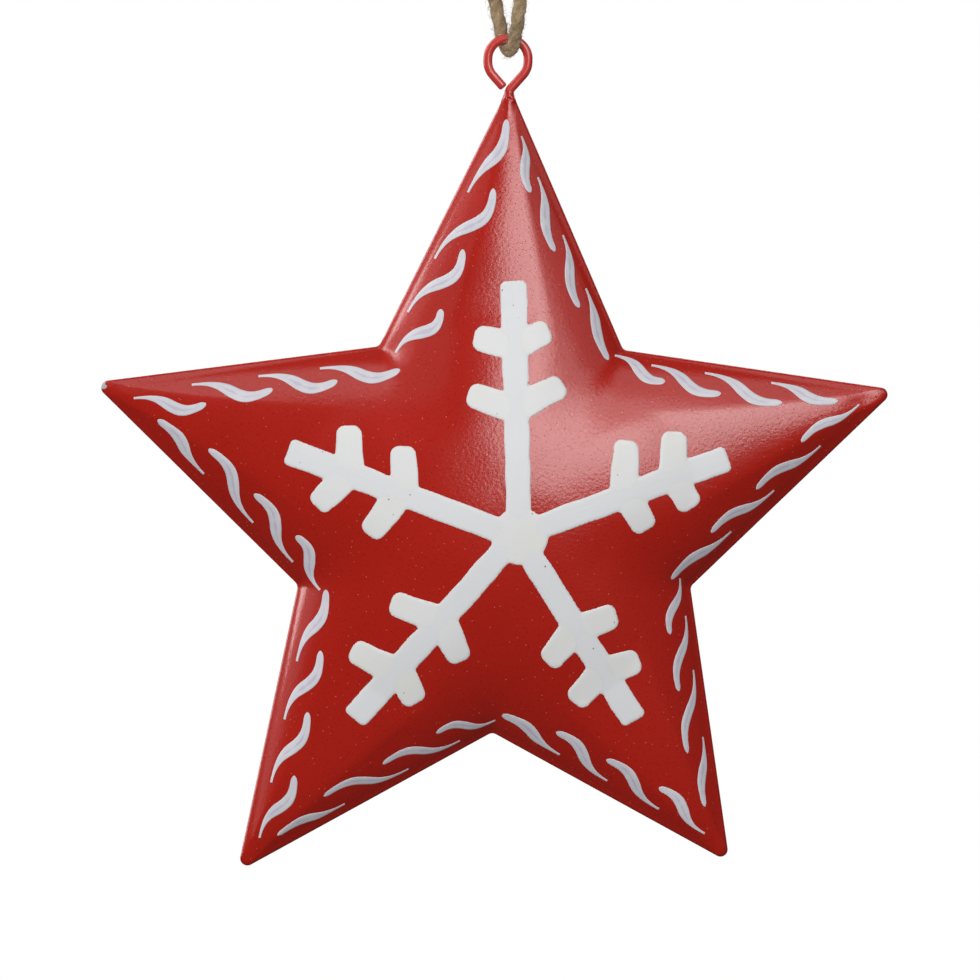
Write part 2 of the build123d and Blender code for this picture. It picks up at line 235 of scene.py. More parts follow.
def add_soft_box(name, right, up, distance, width, height, radiance, mirrored=True):
    """A rectangular light that faces the star; its power follows from its size and how bright it looks."""
    light = bpy.data.lights.new(name, "AREA")
    light.shape = "RECTANGLE"
    light.size = width
    light.size_y = height
    light.energy = radiance * math.pi * width * height
    light.cycles.use_multiple_importance_sampling = mirrored       # else it still shows in the gloss
    lamp = bpy.data.objects.new(name, light)
    swing = Matrix.Rotation(math.radians(right), 3, "Z") @ Matrix.Rotation(math.radians(-up), 3, "X")
    towards = swing @ Vector((0, -1, 0))
    lamp.location = star_middle + towards * distance
    lamp.rotation_euler = (-towards).to_track_quat("-Z", "Y").to_euler()
    lamp.visible_glossy = mirrored
    lamp.visible_camera = False
    scene.collection.objects.link(lamp)


for box in soft_boxes:
    add_soft_box(*box)
for box in dull_boxes:
    add_soft_box(*box, mirrored=False)

# %% [markdown]
# ## Recipes
# A Geometry Nodes tree is a recipe with named inputs. `recipe` starts one and `finish_recipe` closes it
# with smooth shading, realized instances and a material. `run` sets the inputs by their identifiers,
# evaluates the tree once and keeps the result as a plain mesh, so that nothing is left live.

# %% Starting, finishing and running a recipe
def recipe(name, **inputs):
    """Start a Geometry Nodes tree with a Geometry input, the named inputs and a Geometry output."""
    tree = bpy.data.node_groups.new(name, "GeometryNodeTree")
    tree.interface.new_socket("Geometry", in_out="INPUT", socket_type="NodeSocketGeometry")
    for label, kind in inputs.items():
        tree.interface.new_socket(label, in_out="INPUT", socket_type="NodeSocket" + kind)
    tree.interface.new_socket("Geometry", in_out="OUTPUT", socket_type="NodeSocketGeometry")
    return tree, put(tree, "NodeGroupInput").outputs


def finish_recipe(tree, geometry, finish):
    smooth = put(tree, "GeometryNodeSetShadeSmooth", {"Geometry": geometry})
    real = put(tree, "GeometryNodeRealizeInstances", {"Geometry": smooth.outputs[0]})
    painted = put(tree, "GeometryNodeSetMaterial", {"Geometry": real.outputs[0], "Material": finish})
    put(tree, "NodeGroupOutput", {"Geometry": painted.outputs[0]})


def plain_mesh(source):
    """The mesh of an object as it is after its modifiers, as new data of its own."""
    scene.view_layers[0].update()
    graph = bpy.context.evaluated_depsgraph_get()
    mesh = bpy.data.meshes.new_from_object(source.evaluated_get(graph), depsgraph=graph)
    bpy.data.objects.remove(source)
    return mesh


def run(tree, source, name, **inputs):
    """Run a tree on a mesh and return the result as a new object with a plain mesh."""
    base = bpy.data.objects.new(name + "_base", source)
    scene.collection.objects.link(base)
    modifier = base.modifiers.new(tree.name, "NODES")
    modifier.node_group = tree
    for socket in tree.interface.items_tree:
        if socket.in_out == "INPUT" and socket.name in inputs:
            modifier[socket.identifier] = inputs[socket.name]
    mesh = plain_mesh(base)
    mesh.name = name
    piece = bpy.data.objects.new(name, mesh)
    scene.collection.objects.link(piece)
    print(name, "has", len(mesh.vertices), "points and", len(mesh.polygons), "faces")
    return piece


print("recipes so far:", len(bpy.data.node_groups))

# %% [markdown]
# ## Lines, sweeps and handing over
# Twine, wire and border strokes all follow a line, so they share a few steps: a mesh of bare edges that
# carries numbers along its points, a round section, and a sweep of that section along the line. A
# finished piece is then handed over: it rides on its body, and the solids it stands for are hidden.

# %% Lines, sweeps and handing over
def carry(mesh, **values):
    """Give a mesh one float attribute for each named list of values."""
    for label, numbers in values.items():
        mesh.attributes.new(label, "FLOAT", "POINT").data.foreach_set("value", numbers)
    return mesh


def line_mesh(name, lines, **values):
    """A mesh of open lines."""
    mesh = bpy.data.meshes.new(name)
    points = [point for line in lines for point in line]
    edges = []
    start = 0
    for line in lines:
        edges += [(start + step, start + step + 1) for step in range(len(line) - 1)]
        start += len(line)
    mesh.from_pydata(points, edges, [])
    return carry(mesh, **values)


def attribute(tree, name):
    node = put(tree, "GeometryNodeInputNamedAttribute", {"Name": name}, data_type="FLOAT")
    return node.outputs["Attribute"]


def store(tree, geometry, name, value, kind="FLOAT"):
    """Let every point carry a value under a name."""
    inputs = {"Geometry": geometry, "Name": name, "Value": value}
    return put(tree, "GeometryNodeStoreNamedAttribute", inputs, data_type=kind, domain="POINT").outputs[0]


def as_curve(tree, mesh):
    return put(tree, "GeometryNodeMeshToCurve", {"Mesh": mesh}).outputs[0]


def resampled(tree, curve, step):
    inputs = {"Curve": curve, "Length": step}
    return put(tree, "GeometryNodeResampleCurve", inputs, mode="LENGTH").outputs[0]


def round_section(tree, sides):
    return put(tree, "GeometryNodeCurvePrimitiveCircle", {"Resolution": sides, "Radius": 1.0}).outputs[0]


def sweep(tree, curve, section, size):
    """A closed tube: the section, made as large as size says, along the curve."""
    inputs = {"Curve": curve, "Profile Curve": section, "Scale": size, "Fill Caps": True}
    return put(tree, "GeometryNodeCurveToMesh", inputs).outputs[0]


def hand_over(piece, body, slot, *nodes):
    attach(piece, body)
    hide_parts(*nodes)


# %% [markdown]
# ## Jute
# Jute twine is three loose yarns laid round each other, dull, brown and hairy. Light and dark fibres
# run along each yarn. The colour is noise stretched along the yarn: its vector holds the place round
# the yarn, which is continuous all the way round, and a little of the length. A sheen stands for the
# fuzz that is too fine to model.

# %% Jute finish
jute_tones = (                      # place on the ramp, and colour there
    (0.33, (0.105, 0.063, 0.030, 1)),
    (0.5, (0.42, 0.295, 0.162, 1)),
    (0.68, (0.84, 0.63, 0.38, 1)),
)
fibre_run = 260.0                   # steps of the noise along a metre of yarn
fibre_scale = 8.0                   # and round the yarn
patch_scale = 0.8
patch_share = 0.35
patch_middle = 0.17                 # taken off again, so that the patches both lighten and darken
fibre_relief = 0.25 * mm


def carried(tree, name, output="Fac"):
    """A value that the piece carries as an attribute, for its finish."""
    return put(tree, "ShaderNodeAttribute", attribute_name=name).outputs[output]


def cloud(tree, place, scale, detail=2.0, roughness=0.5):
    """Soft random noise, mostly between a quarter and three quarters."""
    inputs = {"Vector": place, "Scale": scale, "Detail": detail, "Roughness": roughness}
    return put(tree, "ShaderNodeTexNoise", inputs).outputs["Fac"]


def bump(tree, shader, height, distance):
    relief = put(tree, "ShaderNodeBump", {"Height": height, "Distance": distance}).outputs["Normal"]
    tree.links.new(relief, shader.inputs["Normal"])
    return relief


def make_jute():
    dull = {"Roughness": 0.9, "Specular IOR Level": 0.25, "Sheen Weight": 0.25}
    jute, tree, shader = new_finish("jute", **dull)
    length = maths(tree, "MULTIPLY", carried(tree, "along"), fibre_run)
    place = put(tree, "ShaderNodeCombineXYZ", {"Z": length}).outputs[0]
    vector = vectors(tree, "ADD", carried(tree, "ring", "Vector"), place)
    fibres = cloud(tree, vector, fibre_scale, detail=5.0, roughness=0.8)
    patches = maths(tree, "MULTIPLY", cloud(tree, place, patch_scale), patch_share)
    both = maths(tree, "ADD", fibres, patches)
    colours = put(tree, "ShaderNodeValToRGB", {"Fac": maths(tree, "SUBTRACT", both, patch_middle)})
    elements = colours.color_ramp.elements
    elements.new(jute_tones[1][0])
    for element, (position, colour) in zip(elements, jute_tones):
        element.position = position
        element.color = colour
    tree.links.new(colours.outputs["Color"], shader.inputs["Base Color"])
    bump(tree, shader, fibres, fibre_relief)
    return jute


jute = make_jute()
print("finish:", jute.name, "with", len(jute.node_tree.nodes), "nodes")

# %% [markdown]
# ## Route of the twine
# One piece of twine goes from its front end through the knot, down in front of the eye, under the wire,
# up behind it and through the knot again. The route's points are control points of a smooth spline, and
# everything made of twine follows points read from that spline.

# %% Route of the twine
twine_diameter = 2.0 * mm
wire_diameter = 1.5 * mm
eye_radius = 3.32 * mm              # to the middle of the wire
bight_clearance = 0.2 * mm
bight_side = wire_diameter / 2 + bight_clearance + twine_diameter / 2
bight_height = eye_radius - bight_side
knot_foot = 56.2 * mm               # knot's lower and upper end, above the middle of the ring
knot_top = 62.4 * mm
above_knot = 2.2 * mm               # how far the legs stay straight beyond the knot
below_knot = 2.7 * mm
front_leg_x = 0.65 * mm             # the two legs inside the knot
back_leg_x = -1.45 * mm


def route_in_mm(*points):
    return [Vector(point) * mm for point in points]


def through_knot(x):
    heights = (knot_top + above_knot, knot_top, knot_foot, knot_foot - below_knot)
    return [Vector((x, 0, height)) for height in heights]


front_tail = route_in_mm((4.2, -0.8, 72.0), (1.9, -0.5, 68.4))
front_leg = route_in_mm((2.3, -0.2, 49.0), (4.4, -0.6, 41.0), (4.9, -1.0, 30.0), (2.3, -1.5, 17.5))
bight = [Vector((1.1 * mm, -bight_side, bight_height)), Vector((-0.7 * mm, bight_side, bight_height))]
back_leg = route_in_mm((-4.1, 1.5, 17.5), (-5.7, 1.0, 30.0), (-5.1, 0.6, 41.0), (-3.1, 0.2, 49.0))
back_tail = route_in_mm((-2.3, 0.5, 68.0), (-3.4, 0.6, 71.0))
downward = front_tail + through_knot(front_leg_x) + front_leg
upward = back_leg + through_knot(back_leg_x)[::-1] + back_tail


def spline_points(name, route):
    """Points along a smooth spline whose control points are the route, from the middle of the ring."""
    curve = bpy.data.curves.new(name, "CURVE")
    curve.dimensions = "3D"
    curve.resolution_u = 16
    spline = curve.splines.new("NURBS")
    spline.points.add(len(route) - 1)
    for point, place in zip(spline.points, route):
        point.co = (*(eye_middle + place), 1)
    spline.order_u = 3
    spline.use_endpoint_u = True
    holder = bpy.data.objects.new(name, curve)
    scene.collection.objects.link(holder)
    return [vertex.co.copy() for vertex in plain_mesh(holder).vertices]


def line_length(points):
    return sum((after - before).length for before, after in zip(points, points[1:]))


twine_points = spline_points("twine_route", downward + bight + upward)
print("twine along its spline:", round(line_length(twine_points) / mm, 1), "mm")

# %% [markdown]
# ## Laid twine
# Three yarns wind round the line. Modelling them one by one would be slow, and a texture would leave a
# smooth outline, so a tree lays them: each yarn is the line moved aside by an angle that grows with the
# length, then given a round section that swells and thins. They open out a little at the two cut ends.

# %% Recipe for laid twine
yarn_count = 3
yarn_sides = 9
yarn_radius = 0.77 * mm
thin_yarn = 0.78                    # shares of the radius between which a yarn swells
thick_yarn = 1.18
lump_scale = 420.0                  # lumps in a metre of yarn
lay_radius = 0.43 * mm              # from the middle of the twine to the middle of a yarn
lay_pitch = 9.0 * mm                # length of one full turn of a yarn
lay_step = 0.3 * mm                 # distance between points along the twine
fray_share = 0.022                  # share of the length that opens out at each end
cut_end_fray = 1.7


def scaled(tree, vector, factor):
    inputs = {0: vector, "Scale": factor}
    return put(tree, "ShaderNodeVectorMath", inputs, operation="SCALE").outputs[0]


def make_twine_recipe():
    sizes = {"Yarn": "Float", "Lay": "Float", "Pitch": "Float", "Fray": "Float"}
    tree, given = recipe("lay_twine", **sizes, Finish="Material")
    fine = resampled(tree, as_curve(tree, given["Geometry"]), lay_step)
    spot = put(tree, "GeometryNodeSplineParameter").outputs
    tangent = put(tree, "GeometryNodeInputTangent").outputs[0]
    normal = put(tree, "GeometryNodeInputNormal").outputs[0]
    side = vectors(tree, "CROSS_PRODUCT", tangent, normal)
    marked = store(tree, fine, "along", spot["Length"])
    from_middle = maths(tree, "ABSOLUTE", maths(tree, "SUBTRACT", spot["Factor"], 0.5))
    opening = mapped(tree, from_middle, 0.5 - fray_share, 0.5, 1.0, given["Fray"])
    reach = maths(tree, "MULTIPLY", given["Lay"], opening)
    turn = maths(tree, "MULTIPLY", maths(tree, "DIVIDE", spot["Length"], given["Pitch"]), 2 * math.pi)
    lump_place = maths(tree, "MULTIPLY", spot["Length"], lump_scale)
    lumps = put(tree, "ShaderNodeTexNoise", {"W": lump_place}, noise_dimensions="1D").outputs[0]
    swell = mapped(tree, lumps, 0.0, 1.0, thin_yarn, thick_yarn)
    thickness = maths(tree, "MULTIPLY", given["Yarn"], swell)
    round_place = put(tree, "GeometryNodeInputPosition").outputs[0]
    section = store(tree, round_section(tree, yarn_sides), "ring", round_place, "FLOAT_VECTOR")
    yarns = put(tree, "GeometryNodeJoinGeometry")
    for yarn in range(yarn_count):
        angle = maths(tree, "ADD", turn, 2 * math.pi * yarn / yarn_count)
        out = scaled(tree, normal, maths(tree, "COSINE", angle))
        off = scaled(tree, side, maths(tree, "SINE", angle))
        aside = scaled(tree, vectors(tree, "ADD", out, off), reach)
        moved = put(tree, "GeometryNodeSetPosition", {"Geometry": marked, "Offset": aside}).outputs[0]
        tree.links.new(sweep(tree, moved, section, thickness), yarns.inputs[0])
    finish_recipe(tree, yarns.outputs[0], given["Finish"])
    return tree


lay_twine = make_twine_recipe()
lay = {"Yarn": yarn_radius, "Lay": lay_radius, "Pitch": lay_pitch, "Finish": jute}
twine = run(lay_twine, line_mesh("twine_line", [twine_points]), "twine", Fray=cut_end_fray, **lay)

# %% [markdown]
# ## Knot
# Both legs are tied in one overhand knot. What shows of it is the turns that wrap the legs, so the knot
# is the same laid twine along a short helix round them, with its ends tucked back between the legs.

# %% Knot
knot_turns = 2.3
knot_turn_radius = 2.15 * mm
knot_points_per_turn = 12
knot_tuck = 0.9 * mm                # how far from the middle the first and last points lie


def knot_route():
    steps = round(knot_turns * knot_points_per_turn)
    middle_x = (front_leg_x + back_leg_x) / 2
    rise = knot_top - knot_foot - twine_diameter
    route = []
    for step in range(steps + 1):
        angle = 2 * math.pi * step / knot_points_per_turn
        radius = knot_tuck if step in (0, steps) else knot_turn_radius
        height = knot_foot + twine_diameter / 2 + rise * step / steps
        route.append(Vector((middle_x + radius * math.cos(angle), radius * math.sin(angle), height)))
    return route


knot_points = spline_points("knot_route", knot_route())
knot = run(lay_twine, line_mesh("knot_line", [knot_points]), "twine_wraps", Fray=1.0, **lay)

# %% [markdown]
# ## Loose fibres
# Jute is hairy. Hair particles would not survive the export, so short fibres are scattered over the
# yarns as geometry, each a thin bent bristle that leans along the twine at an angle of its own.
# Scattering on the finished yarns keeps every root on the surface, and a bristle has only a few faces
# because there are thousands.

# %% Loose fibres
fibre_count_per_mm2 = 4.4
fibre_length = 1.1 * mm
fibre_radius = 0.03 * mm
fibre_tip = 0.3                     # thickness at the tip, as a share of the root's
fibre_lean = (0.7, 1.5)             # least and most lean from upright, in radians
fibre_sizes = (0.35, 1.25)          # least and most length, as shares of the usual one
fibre_sides = 3
fibre_bend = {"Start": (0, 0, 0), "Middle": (0, 0, 0.6), "End": (0.5, 0, 0.9)}


def chance(tree, least, most, seed):
    """A random number for each root."""
    inputs = {2: least, 3: most, "Seed": seed}
    return put(tree, "FunctionNodeRandomValue", inputs, data_type="FLOAT").outputs[1]


def make_fibre_recipe():
    sizes = {"Density": "Float", "Length": "Float", "Thickness": "Float"}
    tree, given = recipe("loose_fibres", **sizes, Seed="Int", Finish="Material")
    seed = given["Seed"]
    scatter = {"Mesh": given["Geometry"], "Density": given["Density"], "Seed": seed}
    roots = put(tree, "GeometryNodeDistributePointsOnFaces", scatter).outputs
    bend = put(tree, "GeometryNodeCurveQuadraticBezier", {"Resolution": 2, **fibre_bend}).outputs[0]
    spot = put(tree, "GeometryNodeSplineParameter").outputs["Factor"]
    slim = mapped(tree, spot, 0.0, 1.0, 1.0, fibre_tip)
    share = maths(tree, "DIVIDE", given["Thickness"], given["Length"])
    bristle = sweep(tree, bend, round_section(tree, fibre_sides), maths(tree, "MULTIPLY", slim, share))
    spin = chance(tree, 0.0, 2 * math.pi, seed)
    tilt = chance(tree, *fibre_lean, maths(tree, "ADD", seed, 1))
    size = chance(tree, *fibre_sizes, maths(tree, "ADD", seed, 2))
    turn = put(tree, "ShaderNodeCombineXYZ", {"Y": tilt, "Z": spin}).outputs[0]
    lean = put(tree, "FunctionNodeEulerToRotation", {"Euler": turn}).outputs[0]
    both = {"Rotation": roots["Rotation"], "Rotate By": lean}
    stand = put(tree, "FunctionNodeRotateRotation", both, rotation_space="LOCAL").outputs[0]
    growth = {"Points": roots["Points"], "Instance": bristle, "Rotation": stand,
              "Scale": maths(tree, "MULTIPLY", size, given["Length"])}
    grown = put(tree, "GeometryNodeInstanceOnPoints", growth).outputs[0]
    finish_recipe(tree, grown, given["Finish"])
    return tree


fibres = run(
    make_fibre_recipe(), twine.data.copy(), "twine_fibres",
    Density=fibre_count_per_mm2 / mm**2, Length=fibre_length, Thickness=fibre_radius, Seed=7, Finish=jute,
)

# %% [markdown]
# ## Handing the twine over
# The imported model has the twine as a rigid loop, knot and tails. Here the laid twine, its knot
# and the fibres ride on the twine body and take the place of those solids, which are hidden, and the
# height where the twine leaves its knot is printed.

# %% Hand the twine over
hand_over(twine, "twine", "jute", "twine_loop", "twine_tails")
hand_over(knot, "twine", "jute", "twine_knot")
hand_over(fibres, "twine", "jute")
print("cord leaves its knot at", round((eye_middle.z + knot_foot) / mm, 1), "mm")

# %% [markdown]
# ## Red enamel
# The star was dipped and stoved: a semi-gloss red that dried with a fine pebbled skin, caught specks of
# dust and was left with tiny pits. A little of the gloss is the red's own lustre, and the rest is a
# clear coat on top. The colour drifts over a few centimetres, dust and pits sit where random cell
# points fall, and the pebbles are a fine bump. A pit lacks most of the clear coat, and its darker red
# is painted shade. A chip at the left tip shows bare tin, and the coat is missing there.

# %% Enamel finish
drift_scale = 55.0                  # steps of the noise in a metre
pebble_scale = 1900.0
chip_scale = 1800.0
dust_spacing = 1.0 * mm
dust_size = 0.07 * mm
dust_colour = (0.75, 0.25, 0.20, 1)
pit_spacing = 0.52 * mm
# painted shade: the darker red of a pit stands in for the shade inside it
pit_shade_colour = (0.30, 0.008, 0.006, 1)
pit_loss = 0.7                      # how much of the clear coat a pit lacks
chip_place = star_middle + Vector((-65.1, -0.55, 19.8)) * mm
chip_radius = 0.55 * mm
bare_tin = (0.50, 0.51, 0.50, 1)
under_roughness = 0.65              # of the red under its clear coat
coat_index = 1.7                    # how strongly the clear coat mirrors


def object_place(tree):
    return put(tree, "ShaderNodeTexCoord").outputs["Object"]


def mix_colour(tree, share, first, second):
    """Blend two colours by a share, each a value or a link."""
    return put(tree, "ShaderNodeMix", {0: share, 6: first, 7: second}, data_type="RGBA").outputs[2]


def specks(tree, place, spacing, size):
    """One at small dots that lie a spacing apart at random, else nought."""
    cells = put(tree, "ShaderNodeTexVoronoi", {"Vector": place, "Scale": 1 / spacing}).outputs["Distance"]
    return maths(tree, "LESS_THAN", cells, size / spacing)


def chip(tree, place):
    """One where the enamel has come off the left tip, else nought."""
    between = put(tree, "ShaderNodeVectorMath", {0: place, 1: chip_place}, operation="DISTANCE")
    reach = maths(tree, "MULTIPLY", cloud(tree, place, chip_scale), 2 * chip_radius)
    return maths(tree, "LESS_THAN", between.outputs["Value"], reach)


def make_enamel(name, deep, bright, lustre, roughness, pebble_height, pit_size):
    """Red that drifts between a deep and a bright tone with some lustre, under a clear coat."""
    gloss = {"Metallic": lustre, "Roughness": under_roughness, "Specular IOR Level": 0.0,
             "Coat IOR": coat_index, "Coat Roughness": roughness}
    enamel, tree, shader = new_finish(name, **gloss)
    place = object_place(tree)
    red = mix_colour(tree, cloud(tree, place, drift_scale, detail=3.0), deep, bright)
    dusty = mix_colour(tree, specks(tree, place, dust_spacing, dust_size), red, dust_colour)
    pits = specks(tree, place, pit_spacing, pit_size)
    # the pits are darkened as painted shade; they also lack most of the clear coat below
    pit_shaded_red = mix_colour(tree, pits, dusty, pit_shade_colour)
    bare = chip(tree, place)
    tree.links.new(mix_colour(tree, bare, pit_shaded_red, bare_tin), shader.inputs["Base Color"])
    uncoated = maths(tree, "MAXIMUM", maths(tree, "MULTIPLY", pits, pit_loss), bare)
    tree.links.new(maths(tree, "SUBTRACT", 1.0, uncoated), shader.inputs["Coat Weight"])
    relief = bump(tree, shader, cloud(tree, place, pebble_scale, detail=1.0), pebble_height)
    tree.links.new(relief, shader.inputs["Coat Normal"])
    return enamel


red_enamel = make_enamel(
    "red_enamel", (0.45, 0.0125, 0.0052, 1), (0.54, 0.0160, 0.0068, 1),
    lustre=0.2, roughness=0.22, pebble_height=0.027 * mm, pit_size=0.09 * mm,
)
# the same red as the star's, copied lighter and pinker for the wire: painted light
wire_enamel_painted_lighter = make_enamel(
    "wire_enamel_painted_lighter", (0.56, 0.036, 0.030, 1), (0.64, 0.047, 0.040, 1),
    lustre=0.0, roughness=0.28, pebble_height=0.008 * mm, pit_size=0.04 * mm,
)
print("finishes:", red_enamel.name, "and", wire_enamel_painted_lighter.name)

# %% [markdown]
# ## Outline of the star
# The star was cut with snips, so no two arms are alike: each tip and each notch has its own reach and
# leans a little. Short lists of reaches and leans, clockwise from the top, are enough for the whole
# outline. The pressing starts a narrow lip inside it.

# %% Outline of the star
arm_count = 5
tip_reach = [reach * mm for reach in (71.5, 69.9, 69.0, 72.1, 69.8)]     # middle to each sharp tip
tip_lean = (0.3, -1.6, -0.4, -2.0, -1.1)                                 # degrees off an even star
notch_reach = [reach * mm for reach in (35.2, 34.5, 35.3, 34.0, 34.1)]
notch_lean = (-0.2, -0.8, -1.7, -2.7, 0.7)
corner_radius = 1.2 * mm
lip_width = 0.45 * mm


def on_star(reach, clockwise):
    """A point of the flat star, by its reach from the middle and its degrees from straight up."""
    angle = math.radians(clockwise)
    return np.array((reach * math.sin(angle), reach * math.cos(angle)))


def star_corners():
    corners = []
    for arm in range(arm_count):
        middle = 360 / arm_count * arm
        corners.append(on_star(tip_reach[arm], middle + tip_lean[arm]))
        corners.append(on_star(notch_reach[arm], middle + 180 / arm_count + notch_lean[arm]))
    return np.array(corners)


def unit(vector):
    return vector / np.linalg.norm(vector)


def moved_in(corners, distance):
    """The same outline with every edge moved inward by one distance."""
    moved = []
    for place, corner in enumerate(corners):
        before = unit(corner - corners[place - 1])
        after = unit(corners[(place + 1) % len(corners)] - corner)
        inward = np.array((before[1] + after[1], -before[0] - after[0]))
        moved.append(corner + inward * distance / (1 + before @ after))
    return np.array(moved)


star_outline = star_corners()
pressed_rim = moved_in(star_outline, lip_width)
print("star is", np.round(np.ptp(star_outline, axis=0) / mm, 1), "mm before its tips are rounded")

# %% [markdown]
# ## Levels of the press
# The press gave every level of the star the same rule: at the rim the outline is the snipped star,
# higher up its corners move towards a circle and its ridges and valleys soften. One function gives the
# outline at any level, as exact arcs and straight runs with the same number of points, so that the
# levels can be joined.

# %% Levels of the press
crown_spread = 42.0 * mm
ridge_round = 45.0 * mm
ridge_power = 1.2
valley_round = 40.0 * mm
valley_power = 1.1
ridge_room = 0.65                   # most of an edge that the rounding of a ridge may take
valley_room = 0.3
round_from = 0.5                    # levels between which the outline turns into a circle
round_to = 0.3
arc_points = 11
run_points = 24


def ring_points(corners, radii, rooms):
    """Points round one outline: an exact arc at each corner, then a straight run to the next."""
    arcs = []
    for place, corner in enumerate(corners):
        before = corner - corners[place - 1]
        after = corners[(place + 1) % len(corners)] - corner
        half_turn = math.acos(np.clip(unit(before) @ unit(after), -1, 1)) / 2
        room = rooms[place % 2] * min(np.linalg.norm(before), np.linalg.norm(after))
        cut = min(radii[place % 2] * math.tan(half_turn), room)
        q = np.linspace(0, 1, arc_points)[:, None]
        weights = ((1 - q) ** 2, 2 * q * (1 - q) * math.cos(half_turn), q**2)
        ends = (corner - unit(before) * cut, corner, corner + unit(after) * cut)
        arcs.append(sum(w * end for w, end in zip(weights, ends)) / sum(weights))
    ring = []
    for place, arc in enumerate(arcs):
        q = np.linspace(0, 1, run_points + 2)[1:-1, None]
        ring += [arc, arc[-1] * (1 - q) + arcs[(place + 1) % len(arcs)][0] * q]
    return np.concatenate(ring)


def smooth_step(value, low, high):
    share = np.clip((value - low) / (high - low), 0, 1)
    return share * share * (3 - 2 * share)


def level_ring(level):
    """One level of the pressing, seen from above: 1 is the rim, 0 the middle of the crown."""
    reach = np.linalg.norm(pressed_rim, axis=1)[:, None]
    corners = pressed_rim / reach * level * ((1 - level) * crown_spread + level * reach)
    ridge = corner_radius + ridge_round * (1 - level) ** ridge_power
    valley = corner_radius + valley_round * (1 - level) ** valley_power
    ring = ring_points(corners, (ridge, valley), (ridge_room, valley_room))
    roundness = smooth_step(level, round_from, round_to)
    distance = np.linalg.norm(ring, axis=1)[:, None]
    return ring * (1 - roundness + roundness * crown_spread * level / distance)


print("points in a level:", len(level_ring(1.0)))

# %% [markdown]
# ## Flat blank
# A blank is a stack of such outlines, still flat, with two numbers at each point: its level in the
# press and how high it sits on the sheet. It runs over the outer skin, the rim and the inner skin, so
# the pressed shell is closed and as thick as the tin. Small dents and the channel for the stem of the
# eye are part of the height.

# %% Flat blank
sheet = 0.4 * mm
crown_height = 12.0 * mm
crown_fullness = 0.8                # below one, the pressing is fuller near the rim
seam_film = 0.15 * mm
edge_round = 0.20 * mm
corner_fill = 0.30 * mm             # enamel gathered in the corner between the pressing and its lip
outer_levels = 46
outer_crowding = 1.2                # above one, levels lie closer together near the rim
inner_levels = 14
top_level = 0.03
stem_x = trim_reach * math.tan(math.radians(tip_lean[0]))
channel_radius = 1.25 * mm          # tin closed round the stem of the eye
channel_from = 7.0 * mm             # below the trimmed tip, the channel starts here
channel_full = 3.0 * mm             # and is full from here
dents = (                           # x, y, radius and depth of each small dent
    (60.4 * mm, 21.5 * mm, 1.5 * mm, 0.45 * mm),
    (-17.2 * mm, 27.6 * mm, 2.2 * mm, 0.8 * mm),
    (31.7 * mm, -8.8 * mm, 2.0 * mm, 0.30 * mm),
)


def blank_rings():
    """Rings from the middle of the outer skin, over the rim, to the middle of the inner skin."""
    plain = ((corner_radius, corner_radius), (0.5, 0.5))
    steps = [(step / outer_levels) ** outer_crowding for step in range(outer_levels + 1)]
    outer = [1 - (1 - top_level) * step for step in steps]
    inner = [1 - (1 - top_level) * step / inner_levels for step in range(inner_levels + 1)]
    rings = [(level_ring(level), level, sheet) for level in reversed(outer[1:])]
    rings.append((level_ring(1.0), 1.0, sheet + corner_fill))
    rings.append((ring_points(moved_in(star_outline, edge_round), *plain), 1.0, sheet + corner_fill / 4))
    rings.append((ring_points(star_outline, *plain), 1.0, sheet - edge_round))
    rings.append((ring_points(star_outline, *plain), 1.0, 0.0))
    rings += [(level_ring(level), level, 0.0) for level in inner]
    return rings


def raised_for_stem(flat, level, height):
    """How far the tin is pushed out where it closes round the stem, over both skins."""
    points_per_ring = len(level_ring(1.0))
    outside = np.arange(len(flat)) < (outer_levels + 3) * points_per_ring
    bore = np.where(outside, channel_radius, channel_radius - sheet)
    arch = np.sqrt(np.maximum(bore**2 - (flat[:, 0] - stem_x) ** 2, 0))
    arch *= smooth_step(flat[:, 1], trim_reach - channel_from, trim_reach - channel_full)
    return np.where(level > 0, np.maximum(arch - height, 0), 0)


def ring_faces(ring_count, points_per_ring):
    """Four-sided faces between each ring and the next."""
    faces = []
    for ring in range(ring_count - 1):
        for place in range(points_per_ring):
            low = ring * points_per_ring + place
            low_after = ring * points_per_ring + (place + 1) % points_per_ring
            faces.append((low, low_after, low_after + points_per_ring, low + points_per_ring))
    return faces


def make_blank():
    rings = blank_rings()
    count = len(rings[0][0])
    flat = np.concatenate([ring for ring, level, rise in rings] + [np.zeros((2, 2))])
    level = np.concatenate([np.full(count, level) for ring, level, rise in rings] + [np.zeros(2)])
    rise = np.concatenate([np.full(count, rise) for ring, level, rise in rings] + [np.array((sheet, 0.0))])
    flat[:, 1] = np.minimum(flat[:, 1], trim_reach)
    height = rise + crown_height * (1 - level**2) ** crown_fullness + seam_film / 2
    for x, y, radius, depth in dents:
        rise = rise - depth * np.exp(-((flat[:, 0] - x) ** 2 + (flat[:, 1] - y) ** 2) / radius**2)
    rise = rise + raised_for_stem(flat, level, height)
    faces = ring_faces(len(rings), count)
    last = (len(rings) - 1) * count
    for place in range(count):
        after = (place + 1) % count
        faces.append((len(flat) - 2, after, place))
        faces.append((len(flat) - 1, last + place, last + after))
    mesh = bpy.data.meshes.new("star_blank")
    mesh.from_pydata(np.column_stack((flat, np.zeros(len(flat)))).tolist(), [], faces)
    return carry(mesh, level=level, rise=rise)


star_blank = make_blank()
print("blank has", len(star_blank.vertices), "points")

